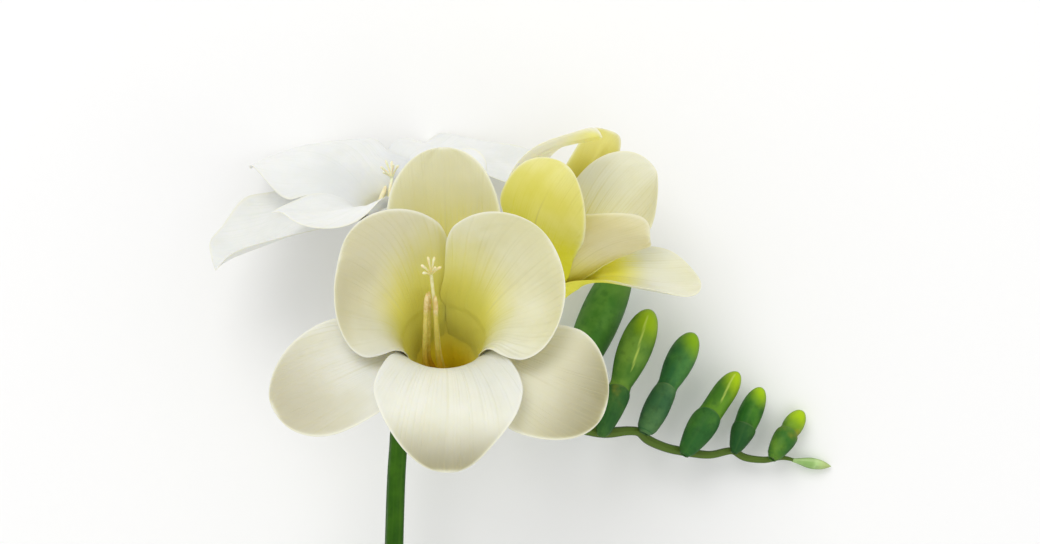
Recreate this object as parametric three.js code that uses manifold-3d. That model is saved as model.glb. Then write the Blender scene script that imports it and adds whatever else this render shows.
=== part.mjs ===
// A cut freesia spike, laid on its back on a flat surface.
// Millimetres, +Z up. The cut end lies towards -Y, the flowers towards +Y and the closed buds towards +X.
// The origin is the middle of the spike's box, on the surface that it lies on.
import * as THREE from 'three';
import Module from 'manifold-3d';
import { mergeVertices } from 'three/addons/utils/BufferGeometryUtils.js';

const wasm = await Module();
wasm.setup();

// ---- driving dimensions, mm and degrees ----
const petalThickness = 0.5;
const whorlOffset = 0.5;         // how far each whorl of petals stands off the middle of the funnel's wall
const petalLift = 0.3;           // how far the petals' roots stand above the funnel's mouth
const bractThickness = 0.5;
const clearance = 0.3;           // between pieces that touch on the plant
const bractClearance = 0.47;     // between a bract and what it clasps
const neckRadius = 1.5;          // middle of the funnel's wall at its foot
const neckWall = 0.35;           // half of the wall's thickness at the foot
const rimWall = 0.6;             // half of the wall's thickness at the mouth
const funnelBelly = 0.35;        // how early the funnel widens
const ovarySwelling = 0.7;
const cutSlant = 0.45;           // slope of the cut across the stem's end
const boxMiddle = [1.36, -102.95, 0.1]; // of the coordinates below, taken off in the finished part

// Centre line of the stem and of the zigzag spike axis that it bends into: a point and its radius.
const stemLine = [
  { at: [-27, -233, 1.95], radius: 1.85 },
  { at: [-27.6, -190, 4.6], radius: 1.85 },
  { at: [-26.6, -140, 8.8], radius: 1.8 },
  { at: [-25.2, -90, 12.8], radius: 1.8 },
  { at: [-24.4, -53, 15.6], radius: 1.8 },
  { at: [-23.6, -35, 17], radius: 1.75 },
  { at: [-22.6, -27.5, 18.2], radius: 1.7 },
  { at: [-18.8, -22.6, 19.5], radius: 1.6 },
  { at: [-12, -22.2, 20.3], radius: 1.5 },
  { at: [-4, -25, 20], radius: 1.4 },
  { at: [4, -27.8, 18.5], radius: 1.3 },
  { at: [11, -30, 16.6], radius: 1.15 },
  { at: [16.5, -31.2, 14.8], radius: 1.05 },
  { at: [21.5, -31, 12.6], radius: 0.85 },
  { at: [23.3, -31.3, 11.8], radius: 0.85 },
  { at: [25, -32.8, 11], radius: 0.9 },
  { at: [28.7, -34.5, 9.4], radius: 0.85 },
  { at: [32, -35.3, 8.3], radius: 0.85 },
  { at: [37.5, -36.1, 6.7], radius: 0.75 },
  { at: [40.8, -35.5, 5.9], radius: 0.7 },
  { at: [42.2, -35.4, 5.5], radius: 0.68 },
  { at: [44.4, -36.7, 4.9], radius: 0.7 },
  { at: [48.5, -37.3, 4], radius: 0.62 },
  { at: [51.4, -36.9, 3.5], radius: 0.5 },
  { at: [52.8, -37, 3.2], radius: 0.38 },
  { at: [54, -37.3, 2.9], radius: 0.3 },
];

// Each open flower: the foot and the mouth of its funnel, the tilt of its axis out of the surface, its
// lean to the left seen from above, and its petals. A petal of the outer whorl has whorl 1, one of the
// inner whorl -1. Azimuth goes round the axis from the back petal to the left. Root is half the angle
// that the petal takes of the mouth. Flare is the angle between petal and axis, sway its turn to one
// side and twist its turn about its own length, each with three handles of a curve from root to tip.
// Cup is the curvature across the petal, 1/mm, with three such handles. Edge lifts the petal's left
// edge (first two handles) and right edge (last two) towards the inside of the flower, mm.
const flowers = {
  front: {
    foot: [-8.2, -22, 22.6], mouth: [-13.6, -12, 58],
    tilt: 50.7, lean: -0.2, bend: 20, mouthRadius: 8,
    threadRise: 1, threadLean: 0,
    petals: {
      top: {
        whorl: 1, azimuth: -2, length: 28.6, halfWidth: 10.3, widest: 0.47, tip: 2.3, root: 59,
        flare: [53, 41, 28], cup: [0.045, 0.048, 0.038], sway: [1, 4, 5],
        twist: [-2, -2, -2], edge: [-1.8, -0.7, 0.3, -0.6],
      },
      left: {
        whorl: -1, azimuth: 62, length: 21.2, halfWidth: 15.5, widest: 0.52, tip: 1.4, root: 59,
        flare: [38, 1, 44], cup: [0.079, 0.022, 0.066], sway: [5, 28, 25],
        twist: [9, -24, 3], edge: [-1.1, -4.1, -0.9, -3.5],
      },
      right: {
        whorl: -1, azimuth: -64, length: 24.3, halfWidth: 15.5, widest: 0.55, tip: 1.4, root: 49,
        flare: [50, -16, 64], cup: [0.111, 0.032, 0.069], sway: [-11, -29, -8],
        twist: [0, 16, 1], edge: [-1.3, 1.2, -5.9, -3.3],
      },
      lowLeft: {
        whorl: 1, azimuth: 132, length: 28.9, halfWidth: 10.7, widest: 0.55, tip: 2.2, root: 41,
        flare: [109, 92, 86], cup: [0.029, 0.025, 0.004], sway: [-12, -12, -16],
        twist: [-7, -5, -2], edge: [0.7, -2.4, -0.8, -2.5],
      },
      lowRight: {
        whorl: 1, azimuth: -130, length: 28.9, halfWidth: 11, widest: 0.59, tip: 1.6, root: 39,
        flare: [128, 74, 84], cup: [0.01, 0.001, 0.02], sway: [4, 5, 12],
        twist: [-5, 4, 8], edge: [6.8, 3.4, -0.6, -1.2],
      },
      low: {
        whorl: -1, azimuth: 185, length: 27.3, halfWidth: 13.1, widest: 0.48, tip: 1.4, root: 40,
        flare: [89, 104, 100], cup: [-0.003, -0.029, 0.049], sway: [0, -9, -4],
        twist: [-5, -7, 11], edge: [5.6, -2.5, 4.6, 0],
      },
    },
  },
  back: {
    foot: [-21.4, -20.6, 21.2], mouth: [-23.6, 12.7, 21.6],
    tilt: 26.4, lean: 11.8, bend: 12, mouthRadius: 7.5,
    threadRise: 0.3, threadLean: -0.2,
    petals: {
      rightBack: {
        whorl: 1, azimuth: 315, length: 24.8, halfWidth: 15.5, widest: 0.57, tip: 2.8, root: 62,
        flare: [111, 126, 100], cup: [-0.068, 0.002, -0.012], sway: [-36, -9, 13],
        twist: [-21, 20, 7], edge: [0.1, -0.3, -5.6, 0.8],
      },
      leftBack: {
        whorl: -1, azimuth: 48, length: 28, halfWidth: 12.4, widest: 0.44, tip: 2.3, root: 36,
        flare: [76, 106, 108], cup: [-0.111, -0.068, 0.007], sway: [-8, 19, 33],
        twist: [-9, 6, 24], edge: [3, -1, 2.8, 2.8],
      },
      left: {
        whorl: 1, azimuth: 85, length: 31.5, halfWidth: 10.4, widest: 0.39, tip: 2.6, root: 62,
        flare: [170, 70, 102], cup: [-0.096, 0.165, 0.119], sway: [27, 8, 1],
        twist: [-28, -12, 3], edge: [3.1, -5.1, -14.2, 2.2],
      },
      leftFront: {
        whorl: -1, azimuth: 139, length: 25.9, halfWidth: 9.7, widest: 0.55, tip: 1.8, root: 36,
        flare: [99, 50, 59], cup: [0.081, -0.018, 0.008], sway: [9, -1, -13],
        twist: [11, 11, -17], edge: [-3.7, -2.8, -0.3, -4.1],
      },
      front: {
        whorl: 1, azimuth: 202, length: 19.1, halfWidth: 6.7, widest: 0.45, tip: 1.9, root: 36,
        flare: [54, 49, 50], cup: [0.044, 0.032, 0.029], sway: [-2, 0, 1],
        twist: [3, 1, 0], edge: [-4.8, -0.2, -4.1, -0.8],
      },
      rightFront: {
        whorl: -1, azimuth: 235, length: 16.4, halfWidth: 8.2, widest: 0.48, tip: 2, root: 41,
        flare: [38, 96, 97], cup: [0.069, 0.03, 0.019], sway: [3, 1, 0],
        twist: [-3, -1, -1], edge: [2.4, -0.3, 5.4, 2.2],
      },
    },
  },
  right: {
    foot: [4.9, -25.6, 20.8], mouth: [4.7, 0.9, 30],
    tilt: 11.9, lean: -31.2, bend: 12, mouthRadius: 7,
    threadRise: 1, threadLean: 0,
    petals: {
      back: {
        whorl: 1, azimuth: 7, length: 27.7, halfWidth: 6, widest: 0.38, tip: 2, root: 40,
        flare: [29, 4, 21], cup: [0.055, 0.05, 0.062], sway: [2, 10, -7],
        twist: [-1, 4, 11], edge: [7.8, -5.2, -1.3, 5.5],
      },
      rightBack: {
        whorl: -1, azimuth: -36, length: 25.6, halfWidth: 9.7, widest: 0.54, tip: 2.7, root: 36,
        flare: [5, 6, 28], cup: [0.033, 0.025, 0.022], sway: [4, 0, -17],
        twist: [9, 5, -2], edge: [4.7, 1.8, -2.6, 3.5],
      },
      right: {
        whorl: 1, azimuth: -83, length: 23.6, halfWidth: 9.7, widest: 0.64, tip: 1.9, root: 36,
        flare: [92, 66, 48], cup: [0.034, 0.075, 0.038], sway: [-8, -3, 1],
        twist: [18, 14, 21], edge: [-0.2, -0.7, 2, 0.1],
      },
      rightFront: {
        whorl: -1, azimuth: -147, length: 20.8, halfWidth: 8.9, widest: 0.49, tip: 2.1, root: 62,
        flare: [18, 53, 68], cup: [0.097, 0.045, 0.05], sway: [8, 5, 32],
        twist: [-2, -7, -5], edge: [0.7, 1.7, -2.8, 5.9],
      },
      front: {
        whorl: 1, azimuth: 158, length: 27, halfWidth: 8.7, widest: 0.61, tip: 2.6, root: 48,
        flare: [91, 27, -13], cup: [0.02, 0.056, 0.054], sway: [3, 9, 7],
        twist: [27, 6, -2], edge: [-3.7, -3, -0.3, 0.8],
      },
      left: {
        whorl: -1, azimuth: 81, length: 30.8, halfWidth: 5.2, widest: 0.38, tip: 1.6, root: 36,
        flare: [84, -94, -57], cup: [-0.024, 0.048, 0.07], sway: [5, -1, 2],
        twist: [-57, 0, -13], edge: [1.6, -7.3, -1.5, -5.4],
      },
    },
  },
};

// Closed buds, the oldest first: foot and tip, how far the bud bows, the widest radius of the bud and of
// its sheath of bracts, the sheath's radius at its foot as a share of that, the share of the sheath's
// length where it is widest, the share of the bud's length where the sheath ends (neck), and the share
// of the rest where the bud is widest.
const buds = {
  bud_1: {
    foot: [7.5, -28.1, 14.4], tip: [20.9, 2.6, 7.5], bow: 0.8,
    bulge: 4.1, sheath: 2.8, sheathFoot: 0.52, sheathFull: 0.65, neck: 0.25, widest: 0.5,
  },
  bud_2: {
    foot: [15.8, -31.3, 18.1], tip: [25.4, -7.3, 15.5], bow: 0.5,
    bulge: 3.3, sheath: 2.45, sheathFoot: 0.5, sheathFull: 0.8, neck: 0.4, widest: 0.5,
  },
  bud_3: {
    foot: [24.4, -31, 13.7], tip: [34.2, -12, 9.5], bow: 0.3,
    bulge: 2.8, sheath: 2.4, sheathFoot: 0.7, sheathFull: 0.5, neck: 0.48, widest: 0.48,
  },
  bud_4: {
    foot: [32.3, -35.4, 11.2], tip: [43.1, -19.8, 6.8], bow: 0.4,
    bulge: 2.35, sheath: 2.75, sheathFoot: 0.5, sheathFull: 0.7, neck: 0.52, widest: 0.4,
  },
  bud_5: {
    foot: [42.3, -35.2, 7.9], tip: [47.9, -22.9, 4.8], bow: 0.3,
    bulge: 2.4, sheath: 2.4, sheathFoot: 0.42, sheathFull: 1, neck: 0.42, widest: 0.25,
  },
  bud_6: {
    foot: [50, -36.6, 6.1], tip: [56.3, -27.7, 2.2], bow: 0.2,
    bulge: 2.05, sheath: 2.25, sheathFoot: 0.55, sheathFull: 0.8, neck: 0.58, widest: 0.2,
  },
};
const tipBud = { foot: [54.3, -37.4, 2.8], tip: [62.1, -38.8, 0.9], radius: 1.15 };

// Threads in each flower. The first two points are [share of the funnel, back, left], measured off the
// funnel's centre line, and the other two [above the mouth, back, left]. Above the mouth a flower's
// threads are shortened by threadRise and lean to the left by threadLean for each mm above it.
const stamens = [
  [[0.42, 0, 1.1], [0.75, 0.4, 3.6], [0, 2.2, 3.3], [7, 4.9, 2.9]],
  [[0.42, 0, -0.8], [0.75, 0.2, 1.1], [0, 2.1, 1.3], [6.5, 4.7, 1.4]],
  [[0.42, 1.3, 1.2], [0.75, 1.8, 3.1], [-0.8, 3.6, 2.7], [5.2, 6.7, 2.6]],
];
const style = [[0.3, 0, 0], [0.72, 1.7, 0.9], [-0.2, 3.8, 1.3], [10.5, 6.4, 2.1]];

// The stigma's six arms: [angle round the style, how far out and how far up each reaches].
const stigmaArms = [
  [-18, 2, 2.6], [24, 1.3, 3.4], [100, 1.7, 2.9], [138, 2.1, 2.2], [222, 1.4, 3.2], [258, 1.9, 2.5],
];

// ---- materials ----
const finish = (color) => new THREE.MeshStandardMaterial({ color, roughness: 0.6, metalness: 0 });
const petalColors = { front: 0xe6e2c4, back: 0xeef0ec, right: 0xe2dc94 };
const stemGreen = 0x3f7a2f;
const bractGreen = 0x2f6a34;
const budGreen = 0x6f9c2a;
const pollen = 0xd9c9a0;
const stigma = 0xe8dfae;

// ---- small helpers ----
const vec = (point) => new THREE.Vector3(...point);
const rad = THREE.MathUtils.degToRad;
const mix = THREE.MathUtils.lerp;
const smooth = (t) => THREE.MathUtils.smoothstep(t, 0, 1);
const up = new THREE.Vector3(0, 0, 1);

// Cubic curve of numbers from start through three handles, the last of which is its end.
function along(start, [first, second, end], t) {
  const s = 1 - t;
  return start * s ** 3 + 3 * first * t * s ** 2 + 3 * second * t ** 2 * s + end * t ** 3;
}

function named(name, geometry, color) {
  const mesh = new THREE.Mesh(geometry, finish(color));
  mesh.name = name;
  return mesh;
}

// A closed body from its points and triangles, turned so that the faces point out.
function closedBody(points, faces) {
  const spanned = ([a, b, c]) => points[a].dot(points[b].clone().cross(points[c]));
  const volume = faces.reduce((sum, face) => sum + spanned(face), 0);
  const turned = volume < 0 ? faces.map(([a, b, c]) => [a, c, b]) : faces;
  const positions = points.flatMap((point) => point.toArray());
  const geometry = new THREE.BufferGeometry();
  geometry.setAttribute('position', new THREE.Float32BufferAttribute(positions, 3));
  geometry.setIndex(turned.flat());
  geometry.computeVertexNormals();
  return geometry;
}

// A round body along a curve. Each ring has a radius and its share of the curve's length, and rings that
// come back along the curve make the body hollow. Both ends are closed, the first one with a slant.
function ringBody(curve, rings, sides, ahead = up, slant = 0) {
  const side = Math.abs(ahead.z) > 0.9 ? new THREE.Vector3(1, 0, 0) : up.clone().cross(ahead).normalize();
  const other = ahead.clone().cross(side).normalize();
  side.crossVectors(other, ahead);
  const points = [];
  const faces = [];
  rings.forEach(({ share, radius }, row) => {
    const turn = new THREE.Quaternion().setFromUnitVectors(ahead, curve.getTangentAt(share));
    for (let i = 0; i < sides; i++) {
      const angle = (2 * Math.PI * i) / sides;
      const out = side.clone().multiplyScalar(Math.cos(angle)).addScaledVector(other, Math.sin(angle));
      if (row === 0) out.addScaledVector(ahead, slant * Math.cos(angle));
      points.push(out.multiplyScalar(radius).applyQuaternion(turn).add(curve.getPointAt(share)));
      if (row === 0) continue;
      const a = (row - 1) * sides + i;
      const b = (row - 1) * sides + ((i + 1) % sides);
      faces.push([a, b, b + sides], [a, b + sides, a + sides]);
    }
  });
  const last = (rings.length - 1) * sides;
  points.push(curve.getPointAt(rings[0].share), curve.getPointAt(rings.at(-1).share));
  for (let i = 0; i < sides; i++) {
    const next = (i + 1) % sides;
    faces.push([points.length - 2, next, i], [points.length - 1, last + i, last + next]);
  }
  return closedBody(points, faces);
}

// A sheet of the given thickness from a grid of points, each with the direction of its inner side.
function sheetBody(grid, thickness) {
  const rows = grid.length;
  const columns = grid[0].length;
  const side = (height) =>
    grid.flat().map(({ point, inner }) => point.clone().addScaledVector(inner, height));
  const points = [...side(thickness / 2), ...side(-thickness / 2)];
  const faces = [];
  const under = rows * columns;
  for (let i = 0; i + 1 < rows; i++) {
    for (let j = 0; j + 1 < columns; j++) {
      const a = i * columns + j;
      const c = a + columns;
      faces.push([a, c, c + 1], [a, c + 1, a + 1]);
      faces.push([under + a, under + c + 1, under + c], [under + a, under + a + 1, under + c + 1]);
    }
  }
  const border = [];
  for (let j = 0; j + 1 < columns; j++) border.push(j);
  for (let i = 0; i + 1 < rows; i++) border.push(i * columns + columns - 1);
  for (let j = columns - 1; j > 0; j--) border.push((rows - 1) * columns + j);
  for (let i = rows - 1; i > 0; i--) border.push(i * columns);
  border.forEach((a, k) => {
    const b = border[(k + 1) % border.length];
    faces.push([a, b, b + under], [a, b + under, a + under]);
  });
  return closedBody(points, faces);
}

// Joins closed bodies that overlap into one.
function join(geometries) {
  const solids = geometries.map((geometry) => {
    const bare = geometry.clone();
    bare.deleteAttribute('normal');
    const merged = mergeVertices(bare, 1e-4);
    return new wasm.Manifold(new wasm.Mesh({
      numProp: 3,
      vertProperties: new Float32Array(merged.attributes.position.array),
      triVerts: new Uint32Array(merged.index.array),
    }));
  });
  const mesh = solids.reduce((sum, solid) => sum.add(solid)).getMesh();
  const geometry = new THREE.BufferGeometry();
  geometry.setAttribute('position', new THREE.BufferAttribute(mesh.vertProperties, 3));
  geometry.setIndex(new THREE.BufferAttribute(mesh.triVerts, 1));
  geometry.computeVertexNormals();
  return geometry;
}

// ---- stem ----
function stem() {
  const perStep = 2;
  const curve = new THREE.CatmullRomCurve3(stemLine.map(({ at }) => vec(at)));
  const marks = curve.getLengths((stemLine.length - 1) * perStep);
  const rings = marks.map((length, i) => {
    const before = stemLine[Math.floor(i / perStep)];
    const after = stemLine[Math.ceil(i / perStep)];
    return { share: length / marks.at(-1), radius: (before.radius + after.radius) / 2 };
  });
  return named('stem', ringBody(curve, rings, 8, vec([1, 1, 0]).normalize(), cutSlant), stemGreen);
}

// ---- funnel of a flower ----
// Radius of the middle of its wall, from the foot (0) to the mouth (1).
function funnelRadius(flower, share) {
  return mix(neckRadius, flower.mouthRadius, along(0, [0, funnelBelly, 1], share));
}

// Radius of its outside, with the swelling of the ovary just above its foot.
function funnelOutside(flower, share, length) {
  const ovary = ovarySwelling * Math.exp(-(((share * length - 2.8) / 2.2) ** 2));
  return funnelRadius(flower, share) + mix(neckWall, rimWall, share) + ovary;
}

function funnel(name, flower, curve, color) {
  const steps = 10;
  const floor = 0.2;
  const length = curve.getLength();
  const rim = 1 - clearance / length;
  const rings = [];
  for (let i = 0; i <= steps; i++) {
    const share = (rim * i) / steps;
    rings.push({ share, radius: funnelOutside(flower, share, length) });
  }
  for (let i = steps; i > 1; i--) {
    const share = mix(floor, rim, (i - 2) / (steps - 2));
    rings.push({ share, radius: funnelRadius(flower, share) - mix(neckWall, rimWall, share) });
  }
  return named(`${name}_funnel`, ringBody(curve, rings, 14), color);
}

// ---- petals ----
// Half of the petal's width: from its root out to the widest place, then in to its tip.
function petalHalfWidth(flower, petal, t) {
  const root = flower.mouthRadius * rad(petal.root);
  if (t < petal.widest) return mix(root, petal.halfWidth, Math.sin((t / petal.widest) * Math.PI / 2));
  const left = ((t - petal.widest) / (1 - petal.widest)) ** petal.tip;
  return petal.halfWidth * Math.sqrt(Math.max(0, 1 - left));
}

// The petal's middle line in the flower's own frame (x to the back petal, y to the left, z out of the
// mouth), found by walking from the mouth in the direction of its flare and sway.
function petalLine(flower, petal, funnelSlope) {
  const steps = 200;
  const point = vec([flower.mouthRadius, 0, petalLift]);
  const line = [];
  for (let i = 0; i <= steps; i++) {
    const flare = rad(along(funnelSlope, petal.flare, i / steps));
    const sway = rad(along(0, petal.sway, i / steps));
    const out = vec([Math.sin(flare), 0, Math.cos(flare)]);
    const left = vec([0, 1, 0]);
    const ahead = out.clone().multiplyScalar(Math.cos(sway)).addScaledVector(left, Math.sin(sway));
    const side = left.clone().multiplyScalar(Math.cos(sway)).addScaledVector(out, -Math.sin(sway));
    line.push({ point: point.clone(), ahead, side });
    point.addScaledVector(ahead, petal.length / steps);
  }
  return line;
}

// How far the petal stands in from the surface that its middle line and its cup give: its whorl's
// offset, and the lift of its two edges. Across runs from the right edge (-1) to the left edge (1) and
// counts for less as the petal narrows to its tip.
function petalInset(petal, t, across, halfWidth) {
  const narrowing = t < petal.widest ? 1 : 1 - (1 - Math.min(1, halfWidth / petal.halfWidth)) ** 3;
  const [leftMiddle, leftTip, rightMiddle, rightTip] = petal.edge;
  const left = along(0, [0, leftMiddle, leftTip], t) * ((1 + across * narrowing) / 2) ** 2;
  const right = along(0, [0, rightMiddle, rightTip], t) * ((1 - across * narrowing) / 2) ** 2;
  return left + right - petal.whorl * whorlOffset;
}

// Points of the petal's middle surface. Across the middle line it follows an arc, whose curvature starts
// as that of the funnel and changes to the petal's cup.
function petalGrid(flower, petal, line, shares, columns) {
  const tipHalfWidth = 0.5;
  const flattest = 1e-5;
  return shares.map((t) => {
    const { point, ahead, side } = line[Math.round(t * (line.length - 1))];
    const turned = smooth(t / 0.35);
    const inward = vec([turned - 1, 0, 0]).addScaledVector(ahead.clone().cross(side), turned).normalize();
    const twist = rad(along(0, petal.twist, t));
    const sideways = side.clone().multiplyScalar(Math.cos(twist)).addScaledVector(inward, Math.sin(twist));
    const facing = inward.clone().multiplyScalar(Math.cos(twist)).addScaledVector(side, -Math.sin(twist));
    const halfWidth = Math.max(tipHalfWidth, petalHalfWidth(flower, petal, t));
    const bend = along(1 / flower.mouthRadius, petal.cup, t) || flattest;
    const row = [];
    for (let j = 0; j <= columns; j++) {
      const across = mix(-1, 1, j / columns);
      const arc = bend * halfWidth * across;
      const inner = facing.clone().multiplyScalar(Math.cos(arc)).addScaledVector(sideways, -Math.sin(arc));
      const onArc = point.clone()
        .addScaledVector(sideways, Math.sin(arc) / bend)
        .addScaledVector(facing, (1 - Math.cos(arc)) / bend);
      row.push({ point: onArc.addScaledVector(inner, petalInset(petal, t, across, halfWidth)), inner });
    }
    return row;
  });
}

function petalMesh(name, flower, petal, funnelSlope, color) {
  const rows = 9;
  const columns = 6;
  const shares = Array.from({ length: rows + 1 }, (_, i) => 1 - (1 - i / rows) ** 1.6);
  const line = petalLine(flower, petal, funnelSlope);
  const grid = petalGrid(flower, petal, line, shares, columns);
  const mesh = named(name, sheetBody(grid, petalThickness), color);
  mesh.rotation.z = rad(petal.azimuth);
  return mesh;
}

// ---- stamens and style ----
function threadCurve(flower, funnelCurve, [foot, inside, mouth, end]) {
  const within = ([share, back, left]) => funnelCurve.getPointAt(share).add(vec([back, left, 0]));
  const beyond = ([above, back, left]) =>
    vec([back, left + flower.threadLean * above, flower.threadRise * above]);
  return new THREE.CatmullRomCurve3([within(foot), within(inside), beyond(mouth), beyond(end)]);
}

// A stamen: a thread that ends in a long pollen sac.
function stamenMesh(name, curve) {
  const thread = [0, 0.2, 0.4, 0.6, 0.82].map((share) => ({ share, radius: 0.37 }));
  const sac = [
    { share: 0.85, radius: 0.47 }, { share: 0.91, radius: 0.58 },
    { share: 0.96, radius: 0.47 }, { share: 1, radius: 0.15 },
  ];
  return named(name, ringBody(curve, [...thread, ...sac], 6), pollen);
}

// The style with its stigma: three arms, each parted in two from its root.
function styleMesh(name, curve) {
  const shaft = [0, 0.3, 0.6, 0.8, 1].map((share) => ({ share, radius: 0.33 }));
  const top = curve.getPointAt(1);
  const bodies = [ringBody(curve, shaft, 6)];
  for (const [turn, out, above] of stigmaArms) {
    const side = vec([Math.cos(rad(turn)), Math.sin(rad(turn)), 0]);
    const at = (along, high) => top.clone().addScaledVector(side, along).addScaledVector(up, high);
    const arm = new THREE.QuadraticBezierCurve3(at(-0.1, -0.5), at(0.3 * out, 0.5 * above), at(out, above));
    bodies.push(ringBody(arm, [0, 0.5, 1].map((share) => ({ share, radius: 0.22 })), 4));
  }
  return named(name, join(bodies), stigma);
}

// ---- bracts ----
// A bract that clasps a round body: an arc round its curve that narrows towards the bract's end.
function bract(name, curve, radiusAt, { length, middle, halfAngle, tip }) {
  const rows = 5;
  const columns = 8;
  const start = 0.4;
  const narrowest = 0.12;
  const grid = [];
  for (let i = 0; i <= rows; i++) {
    const share = mix(start, length, i / rows) / curve.getLength();
    const turn = new THREE.Quaternion().setFromUnitVectors(up, curve.getTangentAt(share));
    const reach = halfAngle * Math.max(narrowest, (1 - (i / rows) ** tip) ** 0.6);
    const row = [];
    for (let j = 0; j <= columns; j++) {
      const angle = rad(middle + mix(-reach, reach, j / columns));
      const out = vec([Math.cos(angle), Math.sin(angle), 0]).applyQuaternion(turn);
      const point = curve.getPointAt(share).addScaledVector(out, radiusAt(share));
      row.push({ point, inner: out.negate() });
    }
    grid.push(row);
  }
  return named(name, sheetBody(grid, bractThickness), bractGreen);
}

// ---- open flower ----
function flowerGroup(name, flower) {
  const tilt = rad(flower.tilt);
  const lean = rad(flower.lean);
  const axis = vec([-Math.sin(lean) * Math.cos(tilt), Math.cos(lean) * Math.cos(tilt), Math.sin(tilt)]);
  const back = vec([-Math.sin(lean) * Math.sin(tilt), Math.cos(lean) * Math.sin(tilt), -Math.cos(tilt)]);
  const group = new THREE.Group();
  const left = axis.clone().cross(back);
  group.quaternion.setFromRotationMatrix(new THREE.Matrix4().makeBasis(back, left, axis));
  group.position.copy(vec(flower.mouth));

  const foot = vec(flower.foot).sub(group.position).applyQuaternion(group.quaternion.clone().invert());
  const curve = new THREE.QuadraticBezierCurve3(foot, vec([0, 0, -flower.bend]), vec([0, 0, 0]));
  const length = curve.getLength();
  const nearRim = 0.999;
  const widening = funnelRadius(flower, 1) - funnelRadius(flower, nearRim);
  const funnelSlope = THREE.MathUtils.radToDeg(Math.atan(widening / ((1 - nearRim) * length)));
  const color = petalColors[name];

  group.add(funnel(name, flower, curve, color));
  for (const [place, petal] of Object.entries(flower.petals)) {
    group.add(petalMesh(`${name}_petal_${place}`, flower, petal, funnelSlope, color));
  }
  stamens.forEach((path, i) => {
    group.add(stamenMesh(`${name}_stamen_${i + 1}`, threadCurve(flower, curve, path)));
  });
  group.add(styleMesh(`${name}_style`, threadCurve(flower, curve, style)));
  const hugging = 0.15 + bractClearance + bractThickness / 2;
  const hold = (share) => funnelOutside(flower, share, length) + hugging;
  const outer = { length: 10.5, middle: 180, halfAngle: 95, tip: 2.4 };
  const inner = { length: 8.5, middle: 0, halfAngle: 76, tip: 3 };
  group.add(bract(`${name}_outer_bract`, curve, hold, outer));
  group.add(bract(`${name}_inner_bract`, curve, hold, inner));
  return group;
}

// ---- closed buds ----
// Radius of the sheath that the two bracts make, which narrows a little where it ends.
function sheathRadius(bud, share) {
  const t = Math.min(1, share / bud.neck);
  const full = bud.sheathFull;
  const swelling = mix(bud.sheathFoot, 1, Math.sin(Math.min(1, t / full) * Math.PI / 2));
  const drawnIn = full < 1 ? 0.1 * smooth((t - full) / (1 - full)) : 0;
  return bud.sheath * swelling * (1 - drawnIn);
}

// Radius of the bud, which fills its sheath, swells beyond it to its widest place and closes round.
function budRadius(bud, share) {
  const room = bractThickness / 2 + bractClearance;
  if (share < bud.neck) return sheathRadius(bud, share) - room;
  const t = (share - bud.neck) / (1 - bud.neck);
  const atNeck = sheathRadius(bud, bud.neck) - room;
  if (t < bud.widest) return mix(atNeck, bud.bulge, Math.sin((t / bud.widest) * Math.PI / 2));
  return bud.bulge * Math.sqrt(1 - ((t - bud.widest) / (1 - bud.widest)) ** 2.2);
}

function budGroup(name, bud) {
  const foot = vec(bud.foot);
  const toTip = vec(bud.tip).sub(foot);
  const total = toTip.length();
  const group = new THREE.Group();
  group.position.copy(foot);
  group.quaternion.setFromUnitVectors(up, toTip.normalize());
  const curve = new THREE.QuadraticBezierCurve3(
    vec([0, 0, 0]), vec([0, bud.bow, total / 2]), vec([0, 0, total]));

  const inSheath = [0, 1 / 3, 2 / 3, 1].map((t) => bud.neck * t);
  const beyond = [0.12, 0.28, 0.45, 0.6, 0.74, 0.86, 0.94, 0.985].map((t) => mix(bud.neck, 1, t));
  const rings = [...inSheath, ...beyond].map((share) => ({ share, radius: budRadius(bud, share) }));
  group.add(named(name, ringBody(curve, rings, 12), budGreen));

  // The bracts hug it. The wide outer one lies on its upper side, as the spike lies.
  const hold = (share) => sheathRadius(bud, share);
  const length = 0.97 * bud.neck * total;
  const top = THREE.MathUtils.radToDeg(Math.atan2(-toTip.y, -toTip.x));
  const outer = { length, middle: top, halfAngle: 112, tip: 6 };
  const inner = { length, middle: top + 180, halfAngle: 62, tip: 4 };
  group.add(bract(`${name}_outer_bract`, curve, hold, outer));
  group.add(bract(`${name}_inner_bract`, curve, hold, inner));
  return group;
}

function endBud() {
  const foot = vec(tipBud.foot);
  const tip = vec(tipBud.tip);
  const widths = [0.3, 0.6, 0.95, 1, 0.75, 0.2];
  const last = widths.length - 1;
  const rings = widths.map((width, i) => ({ share: i / last, radius: width * tipBud.radius }));
  const ahead = tip.clone().sub(foot).normalize();
  return named('tip_bud', ringBody(new THREE.LineCurve3(foot, tip), rings, 8, ahead), bractGreen);
}

// ---- assembly ----
const spike = new THREE.Group();
spike.add(stem());
for (const [name, flower] of Object.entries(flowers)) spike.add(flowerGroup(name, flower));
for (const [name, bud] of Object.entries(buds)) spike.add(budGroup(name, bud));
spike.add(endBud());
spike.position.copy(vec(boxMiddle)).negate();

const part = new THREE.Group();
part.add(spike);
export default part;
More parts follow.
